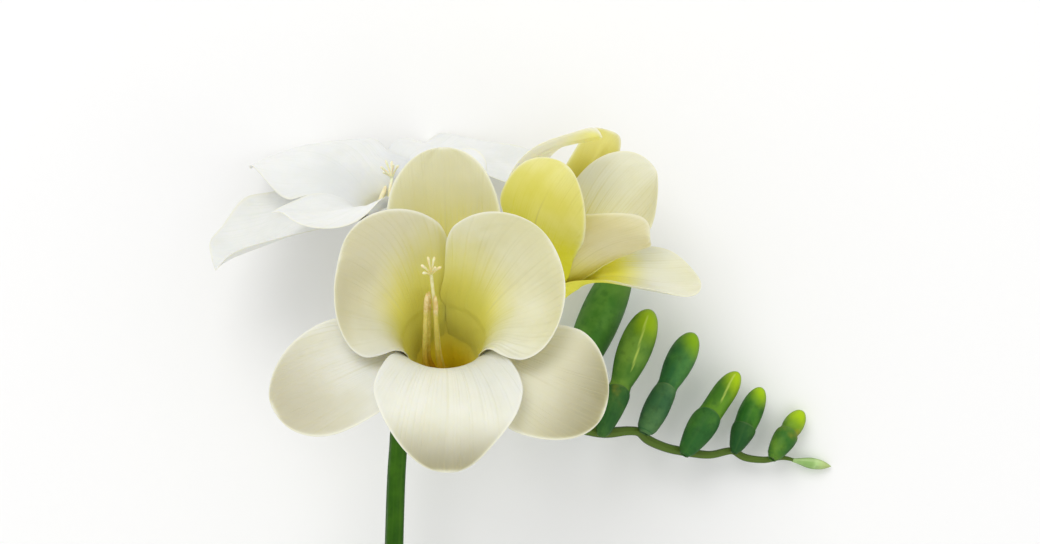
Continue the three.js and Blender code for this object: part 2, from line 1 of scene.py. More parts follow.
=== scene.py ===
# A cut freesia spike lying on a pale floor: stem, three open flowers, six closed buds and the tip.
import bpy
import numpy as np
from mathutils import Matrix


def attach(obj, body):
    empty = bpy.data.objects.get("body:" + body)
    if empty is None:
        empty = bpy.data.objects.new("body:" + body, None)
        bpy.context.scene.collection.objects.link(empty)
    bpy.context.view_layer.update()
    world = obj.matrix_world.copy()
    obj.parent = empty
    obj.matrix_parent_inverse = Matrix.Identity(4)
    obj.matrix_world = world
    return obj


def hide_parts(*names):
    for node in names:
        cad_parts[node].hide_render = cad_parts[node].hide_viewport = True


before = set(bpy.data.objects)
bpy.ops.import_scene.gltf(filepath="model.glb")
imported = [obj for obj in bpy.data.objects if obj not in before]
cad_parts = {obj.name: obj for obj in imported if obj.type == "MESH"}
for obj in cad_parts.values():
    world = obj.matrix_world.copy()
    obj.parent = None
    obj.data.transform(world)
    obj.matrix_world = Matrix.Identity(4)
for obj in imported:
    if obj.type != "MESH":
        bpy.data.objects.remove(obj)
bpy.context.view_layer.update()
print("frame loaded:", len(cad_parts), "nodes")

mm = 0.001
boxMiddle = np.array([1.36, -102.95, 0.1])  # mm, taken off every point so that the spike's box is centred
upwards = np.array([0.0, 0.0, 1.0])
dice = np.random.default_rng(7)


# start(1-t)^3 + 3 first t(1-t)^2 + 3 second t^2(1-t) + end t^3
def handleCurve(start, handles, t):
    first, second, end = handles
    s = 1 - t
    return start * s**3 + 3 * first * t * s**2 + 3 * second * t**2 * s + end * t**3


# 3x^2 - 2x^3 of the share x that value has come from low to high, 0 before and 1 after
def ease(low, high, value):
    x = np.clip((value - low) / (high - low), 0, 1)
    return x * x * (3 - 2 * x)


# exp(-x^2)
def bell(x):
    return np.exp(-x**2)


# a quarter of a sine wave, from 0 at x = 0 to 1 at x = 1 and beyond
def quarterSine(x):
    return np.sin(np.clip(x, 0, 1) * np.pi / 2)


def blend(a, b, share):
    return a + (b - a) * share


def unit(vectors):
    return vectors / np.maximum(np.linalg.norm(vectors, axis=-1, keepdims=True), 1e-12)


def turnAbout(angle):
    return np.array([[np.cos(angle), np.sin(angle), 0], [-np.sin(angle), np.cos(angle), 0], [0, 0, 1]])


# (cos, sin, 0)
def roundTheAxis(angle):
    return np.stack([np.cos(angle), np.sin(angle), np.zeros_like(angle)], axis=-1)


def roundAngles(sides):
    return np.arange(sides) * 2 * np.pi / sides


# Shares from 0 to 1 that crowd towards 1: 1 - (1 - x)^power
def crowdedAlong(rows, power):
    return 1 - (1 - np.linspace(0, 1, rows)) ** power


# Shares from -1 to 1 that crowd towards both edges: (1 - crowding) s + crowding sin(s pi / 2)
def crowdedAcross(columns, crowding):
    s = np.linspace(-1, 1, columns)
    return (1 - crowding) * s + crowding * np.sin(s * np.pi / 2)


def gridUv(across, along):
    return np.stack(np.broadcast_arrays(across, along), axis=-1)


# Shares of the way round and along, on a grid whose last column closes the first.
def roundUv(shares, sides, turns=1):
    return gridUv(np.linspace(0, 1, sides + 1)[None] * turns, shares[:, None])


# Cubic pieces through the points. The parameter grows with the square root of the distance between
# them, and the slope at a point is the difference of its neighbours. Further columns go along.
def lineThrough(points, count=300):
    points = np.asarray(points, float)
    gaps = np.linalg.norm(np.diff(points[:, :3], axis=0), axis=1) ** 0.5
    knots = np.concatenate([[0], np.cumsum(gaps)])
    slopes = np.gradient(points, knots, axis=0)
    u = np.linspace(0, knots[-1], count)
    i = np.clip(np.searchsorted(knots, u, side="right") - 1, 0, len(gaps) - 1)
    x = ((u - knots[i]) / gaps[i])[:, None]
    gap = gaps[i][:, None]
    return ((2 * x**3 - 3 * x**2 + 1) * points[i] + (x**3 - 2 * x**2 + x) * gap * slopes[i]
            + (3 * x**2 - 2 * x**3) * points[i + 1] + (x**3 - x**2) * gap * slopes[i + 1])


# a(1-q)^2 + 2bq(1-q) + cq^2
def bowedLine(a, b, c, count=400):
    q = np.linspace(0, 1, count)[:, None]
    a, b, c = (np.asarray(point, float) for point in (a, b, c))
    return a * (1 - q) ** 2 + 2 * b * q * (1 - q) + c * q**2


# Points and headings at shares of a line's length, and that length.
def walk(line, shares):
    walked = np.concatenate([[0], np.cumsum(np.linalg.norm(np.diff(line[:, :3], axis=0), axis=1))])
    at = np.asarray(shares) * walked[-1]
    headings = unit(np.gradient(line[:, :3], walked, axis=0))
    places = np.stack([np.interp(at, walked, column) for column in line.T], axis=-1)
    ahead = np.stack([np.interp(at, walked, column) for column in headings.T], axis=-1)
    return places, unit(ahead), walked[-1]


def lengthOf(line):
    return walk(line, [0])[2]


# The shortest turn that carries start onto each heading: v cos + k x v + k (k.v) / (1 + cos), where k is
# start x heading.
def turned(vectors, start, headings):
    k = np.cross(start, headings)[:, None]
    cos = (headings @ start)[:, None, None]
    v = np.broadcast_to(vectors, (len(headings),) + vectors.shape[-2:])
    along = k * np.sum(k * v, -1, keepdims=True) / (1 + cos)
    return v * cos + np.cross(np.broadcast_to(k, v.shape), v) + along


# place + radius (cos angle side + sin angle other), with side and other square to the line's heading
def ringsAlong(line, shares, radii, angles, start=upwards):
    places, ahead, _ = walk(line, shares)
    side = np.array([1.0, 0, 0]) if abs(start[2]) > 0.9 else unit(np.cross(upwards, start))
    other = np.cross(start, side)
    out = turned(np.cos(angles)[:, None] * side + np.sin(angles)[:, None] * other, start, ahead)
    return places[:, None, :3] + radii[..., None] * out


# A closed skin over rings of points. Quads join neighbours round and along, and each end is closed by
# a strip that joins point j to point n-1-j. Uv has one column more than the rings, where they close.
def closedSkin(rings, uv, **weights):
    rows, around = rings.shape[:2]
    index = np.arange(rows * around).reshape(rows, around)
    half = around // 2

    def corners(grid):
        quads = np.stack([grid[:-1, :-1], grid[:-1, 1:], grid[1:, 1:], grid[1:, :-1]], axis=2)
        return quads.reshape((-1, 4) + grid.shape[2:])

    def endStrip(grid, row):
        there, back = grid[row, :half], grid[row, :around][::-1][:half]
        strip = np.stack([there[1:], there[:-1], back[:-1], back[1:]], axis=1)
        return strip if row == 0 else strip[:, ::-1]

    faces = np.concatenate([corners(np.concatenate([index, index[:, :1]], axis=1)),
                            endStrip(index, 0), endStrip(index, rows - 1)])
    faceUv = np.concatenate([corners(uv), endStrip(uv, 0), endStrip(uv, rows - 1)])
    points = rings.reshape(-1, 3)
    a, b, c, d = (points[faces[:, corner]] for corner in range(4))
    if np.sum(np.cross(c - a, d - b) * (a + b + c + d - 4 * points.mean(0))) < 0:  # the faces point inwards
        faces, faceUv = faces[:, ::-1], faceUv[:, ::-1]
    weights = {key: np.broadcast_to(value, (rows, around)).ravel() for key, value in weights.items()}
    return dict(points=points, faces=faces, uv=faceUv, weights=weights)


# A thin sheet: both sides stand half the thickness off its middle surface. Round the sheet each ring
# goes over the inner side from the right edge to the left one and comes back over the outer side.
def sheetSkin(middle, inner, thickness, uv, **weights):
    offset = inner * (thickness / 2)[..., None]
    there = lambda grid: np.concatenate([grid, grid[:, ::-1]], axis=1)
    rings = np.concatenate([middle + offset, (middle - offset)[:, ::-1]], axis=1)
    closedUv = np.concatenate([there(uv), uv[:, :1]], axis=1)
    innerSide = np.zeros(rings.shape[:2])
    innerSide[:, :middle.shape[1]] = 1
    weights = {key: there(np.broadcast_to(value, uv.shape[:2])) for key, value in weights.items()}
    return closedSkin(rings, closedUv, innerSide=innerSide, **weights)


def makePiece(name, skins, material, node):
    starts = np.cumsum([0] + [len(skin["points"]) for skin in skins])
    points = (np.concatenate([skin["points"] for skin in skins]) - boxMiddle) * mm
    faces = np.concatenate([skin["faces"] + start for skin, start in zip(skins, starts)])
    mesh = bpy.data.meshes.new(name)
    mesh.vertices.add(len(points))
    mesh.vertices.foreach_set("co", points.astype(np.float32).ravel())
    mesh.loops.add(faces.size)
    mesh.loops.foreach_set("vertex_index", faces.astype(np.int32).ravel())
    mesh.polygons.add(len(faces))
    mesh.polygons.foreach_set("loop_start", np.arange(0, faces.size, 4, dtype=np.int32))
    mesh.update(calc_edges=True)
    mesh.validate()
    mesh.shade_smooth()
    lay = mesh.uv_layers.new(name="lay")
    lay.data.foreach_set("uv", np.concatenate([skin["uv"] for skin in skins]).astype(np.float32).ravel())
    for key in skins[0]["weights"]:
        values = np.concatenate([skin["weights"][key] for skin in skins])
        mesh.attributes.new(key, "FLOAT", "POINT").data.foreach_set("value", values.astype(np.float32))
    mesh.materials.append(material)
    piece = bpy.data.objects.new(name, mesh)
    bpy.context.scene.collection.objects.link(piece)
    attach(piece, "root")
    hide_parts(node)


# A screen colour, 0 to 255, made linear.
def paint(colour):
    screen = np.array(colour) / 255
    return tuple(np.where(screen < 0.04045, screen / 12.92, ((screen + 0.055) / 1.055) ** 2.4)) + (1.0,)


# How unevenly the lines on a skin are spaced, how noise bends them and how faint some become.
lineMake = dict(unevenScale=0.7, unevenBy=9.0, bendScale=60.0, faintScale=1.3, faint=(0.35, 0.6, 0.15))


# A new material's nodes. add() makes a node, sets its plain values and links what comes from another node.
class Finish:
    def __init__(self, name, **shading):
        self.material = bpy.data.materials.new(name)
        self.material.use_nodes = True
        self.tree = self.material.node_tree
        self.shader = self.tree.nodes["Principled BSDF"]
        for socket, value in shading.items():
            self.shader.inputs[socket.replace("_", " ")].default_value = value

    def add(self, kind, inputs=(), output=0, **settings):
        node = self.tree.nodes.new("ShaderNode" + kind)
        for key, value in settings.items():
            setattr(node, key, value)
        for key, value in dict(inputs).items():
            if isinstance(value, bpy.types.NodeSocket):
                self.tree.links.new(value, node.inputs[key])
            else:
                node.inputs[key].default_value = value
        return node.outputs[output]

    def link(self, value, socket):
        self.tree.links.new(value, self.shader.inputs[socket])

    def weight(self, name):
        return self.add("Attribute", output="Fac", attribute_name=name)

    def sum(self, operation, *values):
        return self.add("Math", dict(enumerate(values)), operation=operation)

    def times(self, a, b):
        return self.sum("MULTIPLY", a, b)

    def mix(self, share, *colours):
        a, b = (paint(colour) if isinstance(colour, tuple) else colour for colour in colours)
        return self.add("Mix", {0: share, 6: a, 7: b}, output=2, data_type="RGBA")

    def between(self, value, low, high, bottom=0.0, top=1.0):
        ends = {0: value, 1: low, 2: high, 3: bottom, 4: top}
        return self.add("MapRange", ends, interpolation_type="SMOOTHSTEP")

    def noise(self, scale, detail=2.0):
        at = self.add("TexCoord", output="Object")
        return self.add("TexNoise", {"Scale": scale, "Detail": detail, "Vector": at})

    def lineNoise(self, across, scale, detail):
        return self.add("TexNoise", {"W": across, "Scale": scale, "Detail": detail}, noise_dimensions="1D")

    # across and along of the piece's own map
    def lay(self):
        spot = self.add("SeparateXYZ", {0: self.add("UVMap", uv_map="lay")})
        return spot, spot.node.outputs[1]

    # Lines that run along the piece: 1 in the middle of each and 0 between. Noise over the width spaces
    # them unevenly and makes some fainter, and noise over the piece bends them a little.
    def veins(self, across, count, wander, sharpness):
        uneven = self.lineNoise(across, count * lineMake["unevenScale"], 1.0)
        bend = self.sum("MULTIPLY_ADD", self.noise(lineMake["bendScale"], 1.0), wander,
                        self.times(uneven, lineMake["unevenBy"]))
        turns = self.sum("MULTIPLY_ADD", across, count * 2 * np.pi, bend)
        wave = self.sum("MULTIPLY_ADD", self.sum("SINE", turns), 0.5, 0.5)
        faint = self.lineNoise(across, count * lineMake["faintScale"], 0.0)
        return self.times(self.sum("POWER", wave, sharpness), self.between(faint, *lineMake["faint"]))

    # 1 where the surface is seen edge on and 0 where it faces the viewer
    def grazing(self, power):
        return self.sum("POWER", self.add("LayerWeight", {"Blend": 0.5}, output=1), power)

    # Heights in mm make the bump, and neither the strength nor the distance is left to guess.
    def bump(self, height):
        self.link(self.add("Bump", {"Strength": 1.0, "Distance": mm, "Height": height}), "Normal")


# Scales are noise scales per metre. Ranges are where an easing starts and ends, then its two values.
# Broad and fine are how far the veins wander and how sharp they are.
petalSkin = dict(
    shine=0.3, scatter=0.0012, scatterTint=(1.0, 0.85, 0.5), roughScale=700.0, rough=(0.3, 0.7, 0.42, 0.6),
    broad=(3.0, 2.5), broadShare=0.3, fine=(2.5, 2.0), fineShare=0.75, fineCount=3.7,
    patchScale=130.0, patches=(0.35, 0.65, 0.25, 1.0), cloudScale=90.0, clouds=(0.35, 0.7),
    veinsFrom=(0.0, 0.25), midribEdge=(0.0, 0.013, 1.0, 0.0), midribRoot=(0.02, 0.2),
    midribTip=(0.9, 0.45), meanLine=0.3, cellScale=2600.0, cellHeight=0.02,
)


# Petal: from the lobe's colour to the throat's yellow, the deep gold and the green foot, with veins
# that fan out over the lobe, a midrib, a tip painted darker as shade where the petal curves away from
# the light, a pale rim that is partly a painted highlight along the thin edge and a fine cell texture.
def petalFinish(name, look):
    skin = petalSkin
    f = Finish(name, Subsurface_Weight=look["glowThrough"], Subsurface_Scale=skin["scatter"],
               Subsurface_Radius=skin["scatterTint"], Specular_IOR_Level=skin["shine"])
    across, along = f.lay()
    broad = f.veins(across, look["veins"], *skin["broad"])
    fine = f.veins(across, look["veins"] * skin["fineCount"], *skin["fine"])
    lines = f.sum("MULTIPLY_ADD", fine, skin["fineShare"], f.times(broad, skin["broadShare"]))
    lines = f.times(lines, f.between(f.noise(skin["patchScale"]), *skin["patches"]))
    names = ("glow", "gold", "green", "rim", "innerSide")
    glow, gold, green, rim, inner = (f.weight(key) for key in names)
    glow = f.times(glow, f.between(inner, 0.0, 1.0, look["outerGlow"]))
    cloud = f.between(f.noise(skin["cloudScale"], 3.0), *skin["clouds"])
    lobe = f.mix(cloud, look["lobe"], look["shade"])
    # Painted shade towards the tip, where most petals curve away from the light: lobe blends to tipShadeTint
    lobe = f.mix(f.times(f.between(along, look["tipFrom"], 1.0), look["tipShow"]), lobe, look["tipShadeTint"])
    veined = f.times(f.times(lines, look["veinShow"]), f.between(along, *skin["veinsFrom"]))
    lobe = f.mix(veined, lobe, look["vein"])
    fromMiddle = f.sum("ABSOLUTE", f.sum("SUBTRACT", across, 0.5))
    midrib = f.times(f.between(fromMiddle, *skin["midribEdge"]), f.between(along, *skin["midribTip"]))
    midrib = f.times(f.times(midrib, f.between(along, *skin["midribRoot"])), look["midribShow"])
    halfWay = f.times(glow, f.sum("SUBTRACT", 1.0, glow))
    streaked = f.sum("ADD", glow, f.times(f.sum("SUBTRACT", lines, skin["meanLine"]), halfWay))
    colour = f.mix(midrib, f.mix(streaked, lobe, look["glow"]), look["vein"])
    colour = f.mix(f.times(gold, inner), colour, look["gold"])
    colour = f.mix(green, colour, look["green"])
    # Pale rim: partly the thin margin's own paler colour, partly a painted highlight along the edge
    colour = f.mix(f.times(rim, look["rimShow"]), colour, look["rim"])
    f.link(colour, "Base Color")
    f.link(f.between(f.noise(skin["roughScale"]), *skin["rough"]), "Roughness")
    cells = f.times(f.noise(skin["cellScale"], 1.0), skin["cellHeight"])
    f.bump(f.sum("ADD", f.times(lines, -look["veinDepth"]), cells))
    return f.material


# Spots are a weight's name, where it starts to show, where it shows in full and how ragged its edge is.
greenSkin = dict(
    shine=0.12, glowThrough=0.05, scatter=0.001, scatterTint=(0.6, 1.0, 0.3), roughScale=500.0,
    rough=(0.3, 0.7, 0.42, 0.6), veins=(6.0, 1.5), patches=(0.38, 0.66), mottleScale=620.0,
    # SideShadeFalloff sets how the painted shade on the sides fades towards the middle.
    mottleFrom=0.5, mottleFull=0.75, edgeScale=260.0, present=(0.0, 0.15), sideShadeFalloff=1.9,
    grainScale=1900.0, grainHeight=0.03,
    spots=(("tip", 0.0, 0.9, 0.45), ("blush", 0.35, 0.75, 1.2), ("rim", 0.25, 0.9, 0.4)),
)


# Green skin of stem, bracts and buds: two greens in patches and faint lengthwise streaks, the tip's
# yellow green, a pale seam and rim, patches of blush and painted shade on the sides where it turns away.
def greenFinish(name, look):
    skin = greenSkin
    f = Finish(name, Subsurface_Weight=skin["glowThrough"], Subsurface_Scale=skin["scatter"],
               Subsurface_Radius=skin["scatterTint"], Specular_IOR_Level=skin["shine"])
    across, along = f.lay()
    streaks = f.veins(across, look["streaks"], *skin["veins"])
    patches = f.between(f.noise(look["patchScale"], 4.0), *skin["patches"])
    colour = f.mix(patches, look["dark"], look["light"])
    mottled = f.between(f.noise(skin["mottleScale"], 4.0), skin["mottleFrom"], skin["mottleFull"],
                        0.0, look["mottle"])
    colour = f.mix(mottled, colour, look["side"])
    colour = f.mix(f.times(streaks, look["streakShow"]), colour, look["streak"])
    for key, start, full, ragged in skin["spots"]:
        if key in look:
            uneven = f.sum("MULTIPLY_ADD", f.noise(skin["edgeScale"], 3.0), ragged, -ragged / 2)
            edge = f.between(f.sum("ADD", f.weight(key), uneven), start, full)
            share = f.times(edge, f.between(f.weight(key), *skin["present"]))
            colour = f.mix(f.times(share, look[key + "Show"]), colour, look[key])
    # Painted shade: the side colour darkens the skin where it is seen edge on, towards its outline.
    colour = f.mix(f.times(f.grazing(skin["sideShadeFalloff"]), look["sideShadeShow"]), colour, look["side"])
    f.link(colour, "Base Color")
    f.link(f.between(f.noise(skin["roughScale"]), *skin["rough"]), "Roughness")
    grain = f.times(f.noise(skin["grainScale"]), skin["grainHeight"])
    f.bump(f.sum("ADD", f.times(streaks, look["streakDepth"]), grain))
    return f.material


threadSkin = dict(roughness=0.6, glowThrough=0.2, scatter=0.0008, tones=(0.35, 0.65), sacTones=(0.4, 0.6))


# Threads and pollen: two tones mixed by a fine grain that also stands up from the surface.
def threadFinish(name, look, pale):
    skin = threadSkin
    f = Finish(name, Roughness=skin["roughness"], Subsurface_Weight=skin["glowThrough"],
               Subsurface_Scale=skin["scatter"])
    grain = f.noise(look["grainScale"], 3.0)
    colour = f.mix(f.between(grain, *skin["tones"]), look["dark"], look["light"])
    colour = f.mix(f.weight("deep"), colour, look["deep"])
    sac = f.mix(f.between(grain, *skin["sacTones"]), look["sac"], look["sacLight"])
    colour = f.mix(f.weight("sac"), colour, sac)
    f.link(f.mix(pale, colour, look["pale"]), "Base Color")
    f.bump(f.times(grain, look["grainDepth"]))
    return f.material


stemMake = dict(
    line=[  # x, y, z and radius, mm, from the cut end to the tip
        (-27, -233, 1.95, 1.85), (-27.6, -190, 4.6, 1.85), (-26.6, -140, 8.8, 1.8),
        (-25.2, -90, 12.8, 1.8), (-24.4, -53, 15.6, 1.8), (-23.6, -35, 17, 1.75),
        (-22.6, -27.5, 18.2, 1.7), (-18.8, -22.6, 19.5, 1.6), (-12, -22.2, 20.3, 1.5), (-4, -25, 20, 1.4),
        (4, -27.8, 18.5, 1.3), (11, -30, 16.6, 1.15), (16.5, -31.2, 14.8, 1.05), (21.5, -31, 12.6, 0.85),
        (23.3, -31.3, 11.8, 0.85), (25, -32.8, 11, 0.9), (28.7, -34.5, 9.4, 0.85), (32, -35.3, 8.3, 0.85),
        (37.5, -36.1, 6.7, 0.75), (40.8, -35.5, 5.9, 0.7), (42.2, -35.4, 5.5, 0.68),
        (44.4, -36.7, 4.9, 0.7), (48.5, -37.3, 4, 0.62), (51.4, -36.9, 3.5, 0.5), (52.8, -37, 3.2, 0.38),
        (54.6, -37.45, 2.75, 0.28)],
    points=2400, rows=420, sides=48, ribs=7, ribHeight=0.05, slant=0.45, bevel=0.12, endShrink=0.5,
    ringsFrom=(1.0, 1, 0), spike=(0.66, 0.8),
    look=dict(dark=(44, 90, 10), light=(64, 110, 18), streak=(82, 124, 34), patchScale=110.0, streaks=9,
              # side: the dark mottle's colour and the painted shade on the sides
              streakShow=0.3, streakDepth=0.03, tip=(98, 120, 50), tipShow=0.8, side=(16, 48, 8),
              sideShadeShow=0.75, mottle=0.25),
)


# A tube whose radius follows the line's fourth column, with low ribs: r + height cos(ribs angle).
# The cut end is slanted and has a small bevel.
def makeStem():
    make = stemMake
    line = lineThrough(make["line"], make["points"])
    shares = np.concatenate([[0, 0], np.linspace(0, 1, make["rows"])])
    angles = roundAngles(make["sides"])
    places, ahead, _ = walk(line, shares)
    radius = places[:, 3]
    radius[0] *= make["endShrink"]
    radius[1] -= make["bevel"]
    radii = radius[:, None] + make["ribHeight"] * np.cos(make["ribs"] * angles)
    rings = ringsAlong(line, shares, radii, angles, unit(np.array(make["ringsFrom"])))
    slanted = np.cos(angles) * make["slant"]
    rings[:3] += slanted[None, :, None] * radii[:3, :, None] * ahead[0]
    rings[2] += ahead[0] * make["bevel"]
    spike = ease(*make["spike"], shares)[:, None]
    skin = closedSkin(rings, roundUv(shares, make["sides"]), tip=spike)
    makePiece("stem_skin", [skin], greenFinish("stem green", make["look"]), "stem")


makeStem()
print("stem done")


# Foot and mouth of the funnel, tilt of its axis out of the surface and lean to the left, and the petals.
# Whorl 1 is the outer one and -1 the inner one. Azimuth goes round from the back petal to the left. Root is
# half the angle that the petal takes of the mouth. Flare, sway and twist turn the petal away from the axis,
# to the side and about its length, cup is its curvature across, 1/mm, and edge lifts the left edge (first
# two) and the right edge (last two) inwards, mm. Each has three handles of a curve from root to tip.
# GoldDown is where the gold starts and is full, mm below the mouth. ThreadRise and threadLean stretch and
# lean the threads. Reach is where the throat's glow on a petal starts to fade and is gone, mm from the mouth.
# TipShadeTint is the colour of the painted shade on a petal's outer part, from share tipFrom on.
frontFlower = dict(
    foot=(-8.2, -22, 22.6), mouth=(-13.6, -12, 58), tilt=50.7, lean=-0.2, bend=20, mouthRadius=8,
    slot="cream_petal", goldDown=(7, 16), threadRise=1, threadLean=0, paleThreads=0.0,
    look=dict(lobe=(228, 226, 206), shade=(218, 216, 190), glow=(225, 218, 104), gold=(255, 232, 66),
              rim=(250, 248, 226), vein=(196, 192, 152), veinShow=0.35, veinDepth=0.05, rimShow=0.6,
              glowThrough=0.45, outerGlow=0.4, creased=0.6, reach=(-2, 13), narrow=4,
              tipShadeTint=(206, 204, 176), midribShow=0.25),
    petals=dict(
        # Petal lobe colours here carry painted light and shade: the top petal, behind the side petals, is
        # darkest.
        top=dict(
            whorl=1, azimuth=-2, length=28.6, halfWidth=10.3, widest=0.47, tip=2.3, root=59,
            flare=(53, 41, 28), cup=(0.045, 0.048, 0.038), sway=(1, 4, 5), twist=(-2, -2, -2),
            edge=(-1.8, -0.7, 0.3, -0.6),
            look=dict(lobe=(212, 209, 174), shade=(202, 199, 160), reach=(4, 26),
                      tipShadeTint=(220, 218, 192), tipFrom=0.5, tipShow=0.4)),
        left=dict(
            whorl=-1, azimuth=62, length=21.2, halfWidth=15.5, widest=0.52, tip=1.4, root=59,
            flare=(38, 1, 44), cup=(0.079, 0.022, 0.066), sway=(5, 28, 25), twist=(9, -24, 3),
            edge=(-1.1, -4.1, -0.9, -3.5),
            look=dict(lobe=(226, 223, 200), shade=(214, 210, 182), reach=(1, 14), sideways=-5,
                      tipShadeTint=(190, 186, 158), tipFrom=0.35, tipShow=0.85)),
        right=dict(
            whorl=-1, azimuth=-64, length=24.3, halfWidth=15.5, widest=0.55, tip=1.4, root=49,
            flare=(50, -16, 64), cup=(0.111, 0.032, 0.069), sway=(-11, -29, -8), twist=(0, 16, 1),
            edge=(-1.3, 1.2, -5.9, -3.3),
            look=dict(lobe=(239, 237, 212), shade=(227, 224, 190), reach=(1, 14), sideways=5,
                      tipShadeTint=(200, 197, 156), tipFrom=0.4, tipShow=0.7, creased=2.2)),
        lowLeft=dict(
            whorl=1, azimuth=132, length=28.9, halfWidth=10.7, widest=0.55, tip=2.2, root=41,
            flare=(109, 92, 86), cup=(0.029, 0.025, 0.004), sway=(-12, -12, -16), twist=(-7, -5, -2),
            edge=(0.7, -2.4, -0.8, -2.5),
            look=dict(lobe=(231, 232, 226), shade=(221, 221, 208), reach=(-3, 4),
                      tipShadeTint=(174, 170, 146), tipFrom=0.3, tipShow=0.85)),
        lowRight=dict(
            whorl=1, azimuth=-130, length=28.9, halfWidth=11, widest=0.59, tip=1.6, root=39,
            flare=(128, 74, 84), cup=(0.01, 0.001, 0.02), sway=(4, 5, 12), twist=(-5, 4, 8),
            edge=(6.8, 3.4, -0.6, -1.2),
            look=dict(lobe=(222, 220, 200), shade=(217, 214, 191), reach=(-1, 7),
                      tipShadeTint=(136, 133, 98), tipFrom=0.5, tipShow=0.85)),
        low=dict(
            whorl=-1, azimuth=185, length=27.3, halfWidth=13.1, widest=0.48, tip=1.4, root=40,
            flare=(89, 104, 100), cup=(-0.003, -0.029, 0.049), sway=(0, -9, -4), twist=(-5, -7, 11),
            edge=(5.6, -2.5, 4.6, 0),
            look=dict(lobe=(230, 230, 218), shade=(223, 223, 208), reach=(-1, 4), veinShow=0.22,
                      tipShadeTint=(136, 133, 104), tipFrom=0.62, tipShow=0.85))))
backFlower = dict(
    foot=(-21.4, -20.6, 21.2), mouth=(-23.6, 12.7, 21.6), tilt=26.4, lean=11.8, bend=12,
    mouthRadius=7.5, slot="white_petal", goldDown=(12, 22), threadRise=0.3, threadLean=-0.2,
    paleThreads=0.65,
    look=dict(lobe=(236, 237, 234), shade=(228, 230, 226), glow=(242, 240, 210), gold=(236, 230, 168),
              rim=(242, 240, 214), vein=(214, 220, 208), veinShow=0.3, veinDepth=0.04, rimShow=0.6,
              glowThrough=0.3, outerGlow=0.35, creased=0.6, reach=(-4, 5), narrow=3,
              tipShadeTint=(230, 232, 222), midribShow=0.2),
    petals=dict(
        rightBack=dict(
            whorl=1, azimuth=315, length=24.8, halfWidth=15.5, widest=0.57, tip=2.8, root=62,
            flare=(111, 126, 100), cup=(-0.068, 0.002, -0.012), sway=(-36, -9, 13), twist=(-21, 20, 7),
            edge=(0.1, -0.3, -5.6, 0.8)),
        leftBack=dict(
            whorl=-1, azimuth=48, length=28, halfWidth=12.4, widest=0.44, tip=2.3, root=36,
            flare=(76, 106, 108), cup=(-0.111, -0.068, 0.007), sway=(-8, 19, 33), twist=(-9, 6, 24),
            edge=(3, -1, 2.8, 2.8)),
        left=dict(
            whorl=1, azimuth=85, length=31.5, halfWidth=10.4, widest=0.39, tip=2.6, root=62,
            flare=(170, 70, 102), cup=(-0.096, 0.165, 0.119), sway=(27, 8, 1), twist=(-28, -12, 3),
            edge=(3.1, -5.1, -14.2, 2.2)),
        leftFront=dict(
            whorl=-1, azimuth=139, length=25.9, halfWidth=9.7, widest=0.55, tip=1.8, root=36,
            flare=(99, 50, 59), cup=(0.081, -0.018, 0.008), sway=(9, -1, -13), twist=(11, 11, -17),
            edge=(-3.7, -2.8, -0.3, -4.1)),
        front=dict(
            whorl=1, azimuth=202, length=19.1, halfWidth=6.7, widest=0.45, tip=1.9, root=36,
            flare=(54, 49, 50), cup=(0.044, 0.032, 0.029), sway=(-2, 0, 1), twist=(3, 1, 0),
            edge=(-4.8, -0.2, -4.1, -0.8)),
        rightFront=dict(
            whorl=-1, azimuth=235, length=16.4, halfWidth=8.2, widest=0.48, tip=2, root=41,
            flare=(38, 96, 97), cup=(0.069, 0.03, 0.019), sway=(3, 1, 0), twist=(-3, -1, -1),
            edge=(2.4, -0.3, 5.4, 2.2))))
